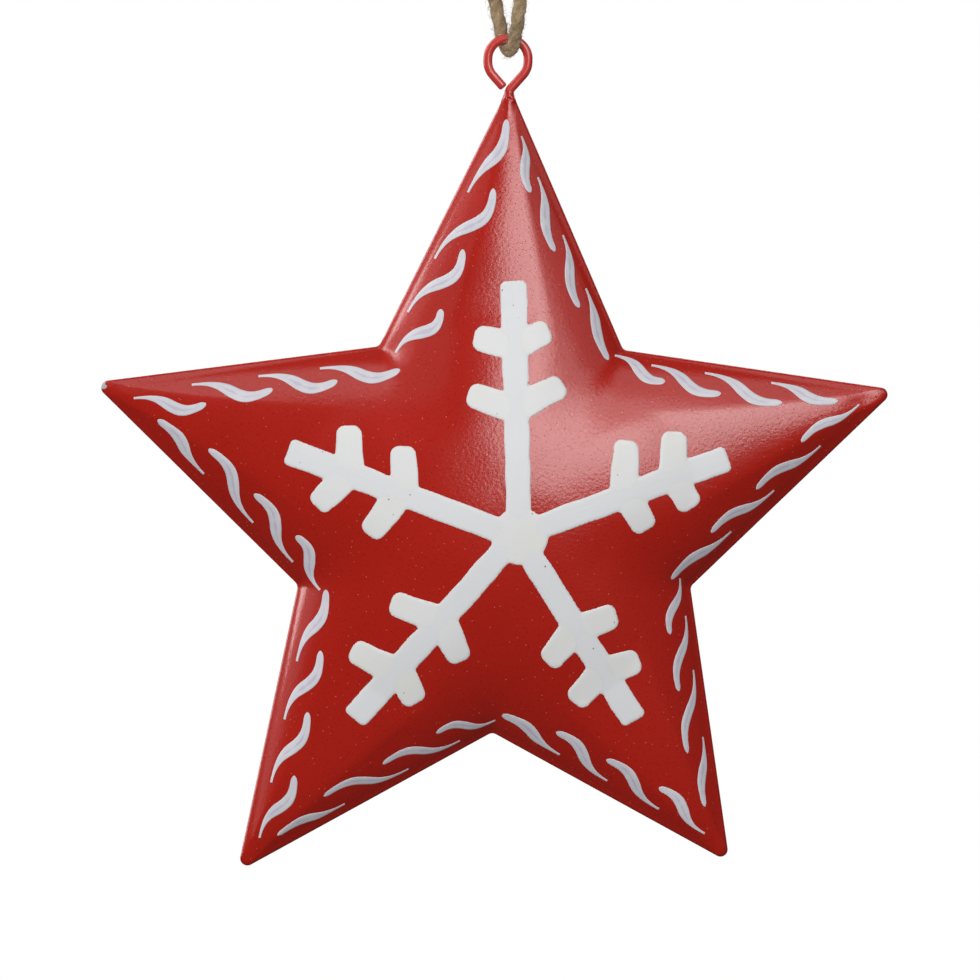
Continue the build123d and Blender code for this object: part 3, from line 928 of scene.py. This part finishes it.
# %% [markdown]
# ## Pressing the star
# The press lifts each point of the blank by a rule of its level, so it is a short node tree: crown
# height times a power of one minus the level squared, plus where the point sits on the sheet, plus the
# faint unevenness of hand-worked tin, which dies out at the rim. Both halves come from one tree, and
# the back one is mirrored. A copy of the front, still lying flat, is kept as the skin that the paint is
# laid on.

# %% Press both halves
uneven_height = 0.4 * mm
uneven_size = 16 * mm
calm_rim = 4.0                      # how quickly the unevenness grows from the rim
rim_crease = math.radians(60)       # edges of the rim that turn more than this stay crisp


def make_press_recipe():
    sizes = {"Crown": "Float", "Fullness": "Float", "Film": "Float", "Uneven": "Float", "Size": "Float"}
    tree, given = recipe("press_star", **sizes, Seed="Float", Finish="Material")
    level = attribute(tree, "level")
    dome = maths(tree, "SUBTRACT", 1.0, maths(tree, "MULTIPLY", level, level))
    lifted = maths(tree, "MULTIPLY", maths(tree, "POWER", dome, given["Fullness"]), given["Crown"])
    seated = maths(tree, "ADD", maths(tree, "ADD", lifted, attribute(tree, "rise")), given["Film"])
    spread = {"W": given["Seed"], "Scale": maths(tree, "DIVIDE", 1.0, given["Size"]), "Detail": 1.0}
    noise = put(tree, "ShaderNodeTexNoise", spread, noise_dimensions="4D").outputs[0]
    wave = maths(tree, "MULTIPLY", maths(tree, "SUBTRACT", noise, 0.5), given["Uneven"])
    calm = maths(tree, "MINIMUM", maths(tree, "MULTIPLY", dome, calm_rim), 1.0)
    height = maths(tree, "ADD", seated, maths(tree, "MULTIPLY", wave, calm))
    offset = put(tree, "ShaderNodeCombineXYZ", {"Z": height}).outputs[0]
    lift = {"Geometry": given["Geometry"], "Offset": offset}
    finish_recipe(tree, put(tree, "GeometryNodeSetPosition", lift).outputs[0], given["Finish"])
    return tree


press_star = make_press_recipe()
pressing = {"Crown": crown_height, "Fullness": crown_fullness, "Film": seam_film / 2,
            "Uneven": uneven_height, "Size": uneven_size, "Finish": red_enamel}
front_shell = run(press_star, star_blank.copy(), "front_star", Seed=1.0, **pressing)
back_shell = run(press_star, star_blank.copy(), "back_star", Seed=4.0, **pressing)
skin = bpy.data.objects.new("skin", front_shell.data.copy())
scene.collection.objects.link(skin)
front_shell.data.transform(face_front)
back_shell.data.transform(face_back)
back_shell.data.flip_normals()
for shell in (front_shell, back_shell):
    shell.data.set_sharp_from_angle(angle=rim_crease)
hand_over(front_shell, "star", "red_enamel", "front_shell")
hand_over(back_shell, "star", "red_enamel", "back_shell")

# %% [markdown]
# ## Laying paint on the skin
# Paint follows the pressed face. A Shrinkwrap modifier would slide the strokes sideways, so each coat
# is made flat, with its thickness as height, and dropped on the skin: a ray goes straight down from
# every point, and the point moves to where the ray hits, plus its own height.

# %% Recipe for laying paint
ray_start = 0.1                     # well above the crown
ray_length = 1.0


def drop_on_skin(tree, geometry, skin_object):
    """Move every point down to the skin below it, then up by the height that it carries as its coat."""
    target = put(tree, "GeometryNodeObjectInfo", {"Object": skin_object}, transform_space="RELATIVE")
    here = put(tree, "GeometryNodeInputPosition").outputs[0]
    flat = vectors(tree, "MULTIPLY", here, (1, 1, 0))
    above = vectors(tree, "ADD", flat, (0, 0, ray_start))
    aim = {"Target Geometry": target.outputs["Geometry"], "Source Position": above,
           "Ray Direction": (0, 0, -1), "Ray Length": ray_length}
    hit = put(tree, "GeometryNodeRaycast", aim).outputs["Hit Position"]
    raised = put(tree, "ShaderNodeCombineXYZ", {"Z": attribute(tree, "coat")}).outputs[0]
    place = vectors(tree, "ADD", hit, raised)
    return put(tree, "GeometryNodeSetPosition", {"Geometry": geometry, "Position": place}).outputs[0]


def make_coat_recipe():
    tree, given = recipe("lay_coat", Skin="Object", Finish="Material")
    finish_recipe(tree, drop_on_skin(tree, given["Geometry"], given["Skin"]), given["Finish"])
    return tree


lay_coat = make_coat_recipe()
print("recipe:", lay_coat.name, "with", len(lay_coat.nodes), "nodes")

# %% [markdown]
# ## White of the snowflake
# The white was brushed on. The arms are thin and a little lilac, the branches and the hub got more
# paint and are warmer. Fine brush lines run along each stroke, the red shines through at the very edge,
# and pinholes show it; their dark brown is painted shade in the holes. The strokes carry their own
# numbers for all this: how full the brush was, the place across and along the stroke, and the distance
# from the edge.

# %% White of the snowflake
thin_white = (0.775, 0.785, 0.795, 1)
full_white = (0.795, 0.805, 0.795, 1)
warm_white = (0.795, 0.795, 0.745, 1)
edge_pink = (0.75, 0.55, 0.53, 1)
edge_share = 0.3                    # how strongly the red shines through at the edge
edge_reach = 0.22 * mm
# painted shade: the dark colour of a pinhole stands in for the shade inside it
hole_shade_colour = (0.22, 0.10, 0.08, 1)
hole_spacing = 1.9 * mm
hole_size = 0.13 * mm
warm_scale = 120.0                  # steps of the noise in a metre
warm_from = 0.52                    # noise between which the white turns warm
warm_to = 0.78
lines_across = 2600.0               # brush lines in a metre across a stroke
lines_along = 140.0
line_relief = 0.025 * mm


def make_snow_white():
    white, tree, shader = new_finish("snow_white", Roughness=0.5)
    place = object_place(tree)
    warm = cloud(tree, place, warm_scale, detail=4.0)
    full = mix_colour(tree, mapped(tree, warm, warm_from, warm_to, 0.0, 1.0), full_white, warm_white)
    base = mix_colour(tree, carried(tree, "load"), thin_white, full)
    thin = mapped(tree, carried(tree, "edge"), 0.0, edge_reach, edge_share, 0.0)
    edged = mix_colour(tree, thin, base, edge_pink)
    holed = maths(tree, "GREATER_THAN", warm, warm_from)
    holes = maths(tree, "MULTIPLY", specks(tree, place, hole_spacing, hole_size), holed)
    # pinholes take a dark colour as painted shade
    tree.links.new(mix_colour(tree, holes, edged, hole_shade_colour), shader.inputs["Base Color"])
    across = maths(tree, "MULTIPLY", carried(tree, "across"), lines_across)
    along = maths(tree, "MULTIPLY", carried(tree, "along"), lines_along)
    brushed = put(tree, "ShaderNodeCombineXYZ", {"X": across, "Y": along}).outputs[0]
    bump(tree, shader, cloud(tree, brushed, 1.0, detail=3.0), line_relief)
    return white


snow_white = make_snow_white()
print("finish:", snow_white.name, "with", len(snow_white.node_tree.nodes), "nodes")

# %% [markdown]
# ## Strokes of the snowflake
# Five arms leave a round hub, each with four short branches. They were painted by eye, so every arm has
# its own angle and length and misses the hub a little. A stroke is a bar with rounded corners that may
# widen or narrow, and its signed distance is easy to write down: negative inside, nought on the edge.

# %% Strokes of the snowflake
flake_hub = np.array((4.5, -2.7)) * mm
flake_hub_radius = 4.65 * mm
arm_width = 4.0 * mm
arm_end_width = 4.4 * mm
branch_root_width = 5.0 * mm
branch_end_width = 4.0 * mm
arm_round = 0.9 * mm                # rounding of a stroke's corners
branch_round = 1.3 * mm
arm_angle = (-3.1, 68.0, 145.8, 219.6, 288.6)
arm_side = [side * mm for side in (-0.15, -0.3, 0.25, 0.5, -0.25)]       # how far each arm misses the hub
arm_length = [length * mm for length in (41.9, 36.5, 35.7, 40.5, 40.6)]
branches = (                        # arm, distance from the hub, degrees off the arm, length
    (0, 31.1, -76, 6.9), (0, 31.1, 66, 6.3), (0, 20.7, -71, 8.3), (0, 20.9, 64, 8.7),
    (1, 26.8, -68, 7.7), (1, 27.0, 80, 5.8), (1, 18.2, -67, 9.2), (1, 18.6, 79, 6.7),
    (2, 26.2, -77, 6.2), (2, 25.8, 73, 7.2), (2, 17.8, -77, 7.0), (2, 17.6, 72, 7.5),
    (3, 30.1, 75, 8.1), (3, 29.4, -69, 6.5), (3, 18.9, 69, 8.7), (3, 18.6, -66, 7.6),
    (4, 29.6, 68, 8.0), (4, 29.9, -67, 7.6), (4, 20.0, 68, 8.0), (4, 20.7, -73, 8.6),
)


def make_flake_strokes():
    """Each stroke as start, end, width at its start, width at its end and rounding."""
    strokes = []
    roots = [flake_hub + on_star(side, angle + 90) for side, angle in zip(arm_side, arm_angle)]
    for root, angle, length in zip(roots, arm_angle, arm_length):
        strokes.append((root, root + on_star(length, angle), arm_width, arm_end_width, arm_round))
    for arm, distance, splay, length in branches:
        start = roots[arm] + on_star(distance * mm, arm_angle[arm])
        end = start + on_star(length * mm, arm_angle[arm] + splay)
        strokes.append((start, end, branch_root_width, branch_end_width, branch_round))
    return strokes


def stroke_distance(x, y, stroke):
    """Signed distance to one stroke, and where each point lies across and along it."""
    start, end, width, end_width, corner = stroke
    length = np.linalg.norm(end - start)
    way = (end - start) / length
    along = (x - start[0]) * way[0] + (y - start[1]) * way[1]
    across = (x - start[0]) * way[1] - (y - start[1]) * way[0]
    half = (width + (end_width - width) * np.clip(along / length, 0, 1)) / 2
    beyond_end = np.abs(along - length / 2) - (length / 2 - corner)
    beyond_side = np.abs(across) - (half - corner)
    outside = np.hypot(np.maximum(beyond_end, 0), np.maximum(beyond_side, 0))
    return outside + np.minimum(np.maximum(beyond_end, beyond_side), 0) - corner, across, along


flake_strokes = make_flake_strokes()
print("snowflake has", len(flake_strokes), "strokes and a hub")

# %% [markdown]
# ## Coat of the snowflake
# Brush strokes run together where they meet. Joining bars with a Boolean would leave hard corners, so
# the strokes are joined as a distance field: on a fine grid the smallest distance wins, softened a
# little where two strokes meet. The grid is kept where the distance is negative, and its outer points
# are pulled onto the edge.

# %% Coat of the snowflake
grid_cell = 0.3 * mm
grid_margin = 4 * mm
least_slope = 0.3                   # of the squared field, so that no point is pulled too far
meeting_round = 0.25 * mm           # how softly two strokes run together
unsteady = 0.09 * mm                # how far a hand-held brush wanders
coat = 0.09 * mm
coat_edge = 0.30 * mm               # how quickly the coat rises from its edge
ridge_height = 0.02 * mm            # the ridge that a brush leaves inside the edge
ridge_inset = 0.5 * mm
ridge_spread = 0.25 * mm
coat_foot = 0.05 * mm               # how far the coat reaches into the enamel


def hand_wobble(x, y):
    """Slow unevenness of a hand-held brush, from -1 to 1."""
    over_x = np.sin(x * 900 + 1.3 * np.sin(y * 700))
    over_y = np.sin(y * 1100 + 1.7 * np.sin(x * 500) + 2)
    return 0.5 * over_x + 0.5 * over_y


def flake_field(x, y):
    """Distance to the edge of the paint, the place on the nearest stroke and how full the brush was."""
    field = np.hypot(x - flake_hub[0], y - flake_hub[1]) - flake_hub_radius
    across = np.zeros_like(x)
    along = np.zeros_like(x)
    load = np.ones_like(x)
    for number, stroke in enumerate(flake_strokes):
        distance, side, way = stroke_distance(x, y, stroke)
        nearer = distance < field
        across = np.where(nearer, side + number * mm, across)
        along = np.where(nearer, way, along)
        load = np.where(nearer, float(number >= len(arm_angle)), load)
        touch = np.maximum(meeting_round - np.abs(distance - field), 0) / meeting_round
        field = np.minimum(distance, field) - touch**2 * meeting_round / 4
    return field + unsteady * hand_wobble(x, y), {"across": across, "along": along, "load": load}


def cell_corners(table):
    """The four corners of every cell of a grid, in turn."""
    return table[:-1, :-1], table[1:, :-1], table[1:, 1:], table[:-1, 1:]


def make_flake_mesh():
    reach = max(arm_length) + grid_margin
    steps = np.arange(-reach, reach, grid_cell)
    x, y = np.meshgrid(flake_hub[0] + steps, flake_hub[1] + steps, indexing="ij")
    field, values = flake_field(x, y)
    slope_x, slope_y = np.gradient(field, grid_cell)
    pull = np.where(field > 0, field / np.maximum(slope_x**2 + slope_y**2, least_slope), 0)
    x = x - pull * slope_x
    y = y - pull * slope_y
    depth = np.maximum(-field, 0)
    ridge = ridge_height * np.exp(-(((depth - ridge_inset) / ridge_spread) ** 2))
    height = coat * (1 - np.exp(-depth / coat_edge)) + np.where(field < 0, ridge, 0)
    inside = cell_corners(field < 0)
    near = np.maximum.reduce(cell_corners(field)) < grid_cell
    rows, columns = np.nonzero(np.logical_and.reduce(inside) | (np.logical_or.reduce(inside) & near))
    numbers = cell_corners(np.arange(x.size).reshape(x.shape))
    quads = np.column_stack([corner[rows, columns] for corner in numbers])
    used, quads = np.unique(quads, return_inverse=True)
    values |= {"coat": height, "edge": depth}
    kept = {label: table.ravel()[used] for label, table in values.items()}
    return closed_coat("snowflake_coat", x.ravel()[used], y.ravel()[used], quads.reshape(-1, 4), kept)


def closed_coat(name, x, y, quads, values):
    """A coat with a top, a foot just under the enamel and a wall round every edge."""
    count = len(x)
    sides = np.concatenate([quads[:, [k, (k + 1) % 4]] for k in range(4)])
    keys = set(map(tuple, sides.tolist()))
    walls = [(b, a, a + count, b + count) for a, b in keys if (b, a) not in keys]
    faces = quads.tolist() + (quads[:, ::-1] + count).tolist() + walls
    mesh = bpy.data.meshes.new(name)
    points = np.column_stack((np.tile(x, 2), np.tile(y, 2), np.zeros(2 * count)))
    mesh.from_pydata(points.tolist(), [], faces)
    foot = {"coat": np.full(count, -coat_foot)}
    both = {label: np.concatenate((top, foot.get(label, top))) for label, top in values.items()}
    return carry(mesh, **both)


snowflake = run(lay_coat, make_flake_mesh(), "snowflake", Skin=skin, Finish=snow_white)
snowflake.data.transform(face_front)
hand_over(snowflake, "star", "white_paint", "snowflake_paint")

# %% [markdown]
# ## White of the border
# The border was painted with quick strokes of thinner paint. Where the brush ran nearly dry, in the
# middle of a stroke, a lilac streak shows. The streak lies where the place across the stroke is near
# nought, and noise makes it wander.

# %% White of the border
border_thin = (0.60, 0.59, 0.665, 1)
border_full = (0.735, 0.735, 0.76, 1)
streak_lilac = (0.46, 0.41, 0.54, 1)
wander_scale = 420.0                # steps of the noise in a metre
wander_width = 0.9                  # how far the streak wanders, in half widths of the stroke
streak_core = 0.02                  # half widths between which the streak fades away sideways
streak_side = 0.26
streak_middle = 0.55                # the streak's middle, as a share of the stroke's length
streak_full = 0.18                  # shares of the length from there between which it fades
streak_end = 0.4
streak_strength = 0.6
border_relief = 0.05 * mm


def make_border_white():
    white, tree, shader = new_finish("border_white", Roughness=0.5)
    wander = cloud(tree, object_place(tree), wander_scale, detail=3.0)
    aside = maths(tree, "MULTIPLY", maths(tree, "SUBTRACT", wander, 0.5), wander_width)
    offset = maths(tree, "ABSOLUTE", maths(tree, "ADD", carried(tree, "across"), aside))
    line = mapped(tree, offset, streak_core, streak_side, 1.0, 0.0)
    from_middle = maths(tree, "ABSOLUTE", maths(tree, "SUBTRACT", carried(tree, "along"), streak_middle))
    middle = mapped(tree, from_middle, streak_full, streak_end, streak_strength, 0.0)
    soft = mix_colour(tree, wander, border_thin, border_full)
    streaked = mix_colour(tree, maths(tree, "MULTIPLY", line, middle), soft, streak_lilac)
    tree.links.new(streaked, shader.inputs["Base Color"])
    bump(tree, shader, wander, border_relief)
    return white


border_white = make_border_white()
print("finish:", border_white.name, "with", len(border_white.node_tree.nodes), "nodes")

# %% [markdown]
# ## Lines of the border
# Forty quick strokes follow the cut edges like the strands of a rope: going clockwise, each lands near
# the edge, crosses inward in its middle and lifts again beside the next one. All the strokes of an edge
# share one rhythm, so a few numbers for each edge place them: where they land and lift, how far from
# the edge and how wide.

# %% Lines of the border strokes
even_edge = 47.5                    # length in mm of the edge that the next two lists are for
from_tip = ((6.4, 17.5), (15.6, 28.0), (26.0, 38.1), (35.6, 47.9))       # landing and lifting, past a tip
from_notch = ((-1.1, 7.9), (5.3, 17.6), (14.5, 28.1), (25.9, 37.5))      # and past a notch
edge_shift = (0.2, -0.2, -0.4, -0.6, 0.1, -0.3, -0.1, -2.1, -0.3, 1.4)   # each edge's own start, clockwise
edge_pace = (1.0, 1.01, 1.03, 1.01, 0.99, 1.04, 1.0, 1.0, 1.06, 1.06)    # and the spacing of its strokes
edge_land = (1.7, 1.9, 2.0, 1.5, 2.2, 1.4, 2.5, 2.2, 2.5, 1.8)           # distance from the edge on landing
edge_lift = (4.0, 4.9, 4.2, 4.4, 5.2, 4.2, 6.0, 5.7, 4.9, 5.3)           # and on lifting
edge_width = (1.65, 1.9, 1.5, 1.4, 1.8, 1.3, 1.9, 1.95, 2.0, 2.0)        # widest part of a stroke
first_drift = (-0.2, -0.7, 0.5, 0.1, 0.1, 0.2, 0.0, -0.1, 1.0, 1.2)      # first stroke lies further in
last_drift = (-1.0, -1.6, -1.0, -1.6, -1.8, -2.0, -1.2, -2.5, -0.5, -3.2)    # last stroke lifts less far in
last_reach = (0, 0, 0, 0, 0, 0, 0, 0, 0, 1.1)                            # last stroke runs on for longer
first_delay = (1.9, 0, 0, 0, 0, 0, 0, 0, 0, 0)                           # first stroke lands later
edge_bend = (0.5, 0.6, 0.55, 0.55, 0.6, 0.6, 0.62, 0.62, 0.6, 0.6)       # how long its ends run on
edge_hook = (6, 12, 8, 6, 10, 8, 12, 12, 20, 24)                         # degrees that its end turns out
start_share = 0.20                  # width of a stroke's start and end, as shares of its widest part
end_share = 0.6
belly_from = 0.48                   # the widest part lies between these shares of its length
belly_to = 0.62
cap_from = 0.94                     # the end is rounded from here
cap_limit = 0.98                    # and stops just short of a point
stroke_points = 36


def stroke_shares():
    """Shares of a stroke's length, closer together at its two ends."""
    return (1 - np.cos(np.linspace(0, math.pi, stroke_points))) / 2


def stroke_line(edge, landing, lifting, inset_land, inset_lift):
    """An S along one edge, from sizes in millimetres: two bends and a crossing between them."""
    start = star_outline[edge]
    after = star_outline[(edge + 1) % len(star_outline)]
    way = unit(after - start)
    inward = np.array((way[1], -way[0]))
    first = start + way * landing * mm + inward * inset_land * mm
    last = start + way * lifting * mm + inward * inset_lift * mm
    reach = (lifting - landing) * mm * edge_bend[edge]
    hook = math.radians(edge_hook[edge])
    leaving = way * math.cos(hook) - inward * math.sin(hook)
    q = stroke_shares()[:, None]
    return ((1 - q) ** 3 * first + 3 * q * (1 - q) ** 2 * (first + way * reach)
            + 3 * q**2 * (1 - q) * (last - leaving * reach) + q**3 * last)


def stroke_half_width(width):
    """A thin start, a full belly past the middle and a blunt, rounded end."""
    q = stroke_shares()
    swell = start_share + (1 - start_share) * smooth_step(q, 0.0, belly_from)
    thin = 1 - (1 - end_share) * smooth_step(q, belly_to, 1.0)
    cap = np.sqrt(1 - np.clip((q - cap_from) / (1 - cap_from), 0, cap_limit) ** 2)
    return width * mm / 2 * swell * thin * cap


def edge_strokes(edge):
    """The four strokes of one edge, as lines of flat points."""
    length = np.linalg.norm(star_outline[(edge + 1) % len(star_outline)] - star_outline[edge]) / mm
    stretch = length / even_edge * edge_pace[edge]
    places = from_notch if edge % 2 else from_tip
    strokes = []
    for number, (landing, lifting) in enumerate(places):
        first = number == 0
        final = number == len(places) - 1
        landing += first_delay[edge] * first
        lifting += last_reach[edge] * final
        land_inset = edge_land[edge] + first_drift[edge] * first
        lift_inset = edge_lift[edge] + first_drift[edge] * first + last_drift[edge] * final
        line = stroke_line(edge, landing * stretch + edge_shift[edge], lifting * stretch + edge_shift[edge],
                           land_inset, lift_inset)
        strokes.append([(x, y, 0.0) for x, y in line])
    return strokes


def border_lines():
    lines, half_widths = [], []
    for edge in range(len(star_outline)):
        strokes = edge_strokes(edge)
        lines += strokes
        half_widths += [stroke_half_width(edge_width[edge])] * len(strokes)
    along = np.tile(stroke_shares(), len(lines))
    return line_mesh("border_lines", lines, half_width=np.concatenate(half_widths), along=along)


border_routes = border_lines()
print("border has", len(border_routes.vertices) // stroke_points, "strokes")

# %% [markdown]
# ## Border strokes
# Strokes repeat along a path, which is work for Geometry Nodes: one tree sweeps a round section along
# all the lines, flattens its upper half to a coat of paint and its lower half to a foot, and lays the
# whole on the skin. The place across a stroke follows from how high a point was on the round section.

# %% Border strokes
section_sides = 16
border_coat = 0.10 * mm
coat_fullness = 0.6                 # below one, the coat is flat on top with steep sides
top_from = -0.01                    # points of the section above this belong to the top


def make_border_recipe():
    tree, given = recipe("border_strokes", Skin="Object", Coat="Float", Foot="Float", Finish="Material")
    line = as_curve(tree, given["Geometry"])
    level = put(tree, "GeometryNodeSetCurveNormal", {"Curve": line}, mode="Z_UP").outputs[0]
    half_width = attribute(tree, "half_width")
    swept = sweep(tree, level, round_section(tree, section_sides), half_width)
    here = put(tree, "GeometryNodeInputPosition").outputs[0]
    height = put(tree, "ShaderNodeSeparateXYZ", {0: here}).outputs["Z"]
    up = maths(tree, "DIVIDE", height, half_width)
    left = maths(tree, "SUBTRACT", 1.0, maths(tree, "MULTIPLY", up, up))
    across = maths(tree, "SQRT", maths(tree, "MAXIMUM", left, 0.0))
    marked = store(tree, swept, "across", across)
    crown = maths(tree, "POWER", maths(tree, "MAXIMUM", up, 0.0), coat_fullness)
    crowned = maths(tree, "MULTIPLY", crown, given["Coat"])
    halves = {0: maths(tree, "GREATER_THAN", up, top_from), 2: given["Foot"], 3: crowned}
    raised = put(tree, "ShaderNodeMix", halves, data_type="FLOAT").outputs[0]
    laid = drop_on_skin(tree, store(tree, marked, "coat", raised), given["Skin"])
    finish_recipe(tree, laid, given["Finish"])
    return tree


border = run(
    make_border_recipe(), border_routes, "border_strokes",
    Skin=skin, Coat=border_coat, Foot=-coat_foot, Finish=border_white,
)
border.data.transform(face_front)
hand_over(border, "star", "white_paint", "border_paint")

# %% [markdown]
# ## Wire eye
# The eye is one piece of wire: a cut end, a ring a little longer than wide, a neck that bends back and
# a stem that goes down inside the top arm. Its line is arcs and straight runs, worked out from the
# ring's own sizes, and the free end stops just before it would touch the neck.

# %% Line of the eye
eye_side = 0.5 * mm                 # straight stretch at each side of the ring
neck_turn = math.radians(40)
free_turn = math.radians(43)
neck_bend_radius = 1.5 * mm
open_gap = 0.15 * mm
stem_depth = 12.0 * mm
side_steps = 14                     # points of the arcs at the sides, the top and the bend
top_steps = 40
bend_steps = 10


def arc_line(middle, radius, start, end, steps):
    """Points of an arc, with angles from straight right, anticlockwise."""
    return [middle + radius * np.array((math.cos(a), math.sin(a))) for a in np.linspace(start, end, steps)]


def eye_line():
    """The eye's middle line, from its cut end to the foot of the stem, about the middle of the ring."""
    wire_radius = wire_diameter / 2
    lower = np.array((0, -eye_side))
    upper = np.array((0, 0))
    left = arc_line(lower, eye_radius, math.pi + free_turn, math.pi, side_steps)
    top = arc_line(upper, eye_radius, math.pi, 0, top_steps)
    right = arc_line(lower, eye_radius, 0, -neck_turn, side_steps)
    neck_way = np.array((-math.sin(neck_turn), -math.cos(neck_turn)))
    neck_side = np.array((-math.cos(neck_turn), math.sin(neck_turn)))
    free_way = np.array((math.sin(free_turn), -math.cos(free_turn)))
    corner = left[0] + np.array((math.cos(free_turn), math.sin(free_turn))) * wire_radius
    room = (corner - right[-1]) @ neck_side - wire_radius - open_gap
    free_end = left[0] + free_way * room / -(free_way @ neck_side)
    neck_length = (right[-1][0] - stem_x) / math.sin(neck_turn) - neck_bend_radius * math.tan(neck_turn / 2)
    neck_end = right[-1] + neck_way * neck_length
    bend_middle = neck_end - neck_side * neck_bend_radius
    bend_start = math.atan2(*(neck_side[::-1]))
    bend = arc_line(bend_middle, neck_bend_radius, bend_start, math.pi, bend_steps)
    foot = np.array((stem_x, -eye_rise - stem_depth))
    return [free_end] + left + top + right + bend + [foot]


flat_eye = [Vector((eye_middle.x + x, eye_middle.y, eye_middle.z + y)) for x, y in eye_line()]
print("wire is", round(line_length(flat_eye) / mm, 1), "mm long")

# %% [markdown]
# ## Bending the wire
# A wire is a round section along a line. The same sweep as for the twine does it, with a short taper at
# the cut end, where the snips squeezed it and the enamel rounded it off.

# %% Bend the wire
wire_step = 0.15 * mm
wire_sides = 28
cut_length = 0.25 * mm              # the taper at the cut end
cut_share = 0.72                    # its thickness there, as a share of the wire's


def make_eye_recipe():
    tree, given = recipe("bend_wire", Radius="Float", Finish="Material")
    fine = resampled(tree, as_curve(tree, given["Geometry"]), wire_step)
    from_cut = put(tree, "GeometryNodeSplineParameter").outputs["Length"]
    dulled = mapped(tree, from_cut, 0.0, cut_length, cut_share, 1.0, interpolation_type="SMOOTHSTEP")
    size = maths(tree, "MULTIPLY", dulled, given["Radius"])
    finish_recipe(tree, sweep(tree, fine, round_section(tree, wire_sides), size), given["Finish"])
    return tree


wire_eye = run(
    make_eye_recipe(), line_mesh("eye_line", [flat_eye]), "wire_eye",
    Radius=wire_diameter / 2, Finish=wire_enamel_painted_lighter,
)
hand_over(wire_eye, "star", "red_enamel_wire", "hanging_eye")

# %% [markdown]
# ## Bead of solder
# Solder closes the tip round the wire and was dipped with the rest, so it is red. It flowed up the wire
# in a smooth taper and left a small pit in front. A turned shape would be round; this one is flatter
# near the tin, so it is a stack of ellipses whose half widths and half depths run through a few
# measured heights.

# %% Bead of solder
# height from the trimmed tip, half width and half depth
bead_shape = [[size * mm for size in row] for row in (
    (-2.0, 0.9, 0.8), (-1.4, 1.20, 0.95), (-0.7, 1.36, 1.15), (-0.2, 1.25, 1.29), (0.2, 1.10, 1.23),
    (0.5, 0.98, 1.08), (0.8, 0.88, 0.93), (1.1, 0.80, 0.82), (1.5, 0.745, 0.745),
)]
bead_sides = 32
bead_rows = 30
bead_pit_height = 0.1 * mm
bead_pit_radius = 0.30 * mm
bead_pit_depth = 0.55 * mm


def bead_rings():
    turn = np.linspace(0, 2 * math.pi, bead_sides, endpoint=False)
    heights, half_widths, half_depths = np.array(bead_shape).T
    rings = []
    for height in np.linspace(heights[0], heights[-1], bead_rows):
        x = np.interp(height, heights, half_widths) * np.cos(turn)
        y = np.interp(height, heights, half_depths) * np.sin(turn)
        pit = np.exp(-(x**2 + (height - bead_pit_height) ** 2) / bead_pit_radius**2)
        y = np.where(y < 0, y + bead_pit_depth * pit, y)
        z = np.full(bead_sides, eye_middle.z - eye_rise + height)
        rings.append(np.column_stack((stem_x + x, y, z)))
    return rings


def make_bead():
    rings = bead_rings()
    foot = tuple(range(bead_sides))[::-1]
    top = tuple(range((len(rings) - 1) * bead_sides, len(rings) * bead_sides))
    mesh = bpy.data.meshes.new("eye_bead")
    mesh.from_pydata(np.concatenate(rings).tolist(), [], [foot, top] + ring_faces(len(rings), bead_sides))
    mesh.shade_smooth()
    mesh.materials.append(red_enamel)
    bead = bpy.data.objects.new("eye_bead", mesh)
    scene.collection.objects.link(bead)
    return bead


bead = make_bead()
hand_over(bead, "star", "red_enamel_wire", "eye_solder")
print(bead.name, "has", len(bead.data.polygons), "faces")

# %% [markdown]
# ## Film of solder and the end
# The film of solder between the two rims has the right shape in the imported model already, so it stays
# and only takes the enamel. The skin was a bench copy and goes. The boxes before and after are written
# down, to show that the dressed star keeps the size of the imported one.

# %% Film of solder, sizes and the end
seam = frame["nodes"]["seam_solder"]
seam.data.materials.clear()
seam.data.materials.append(red_enamel)
bpy.data.objects.remove(skin)

visual_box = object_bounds()
growth = [[round((b - a) / mm, 2) for a, b in zip(*pair)] for pair in zip(cad_box, visual_box)]
print("box grew by", growth, "mm")
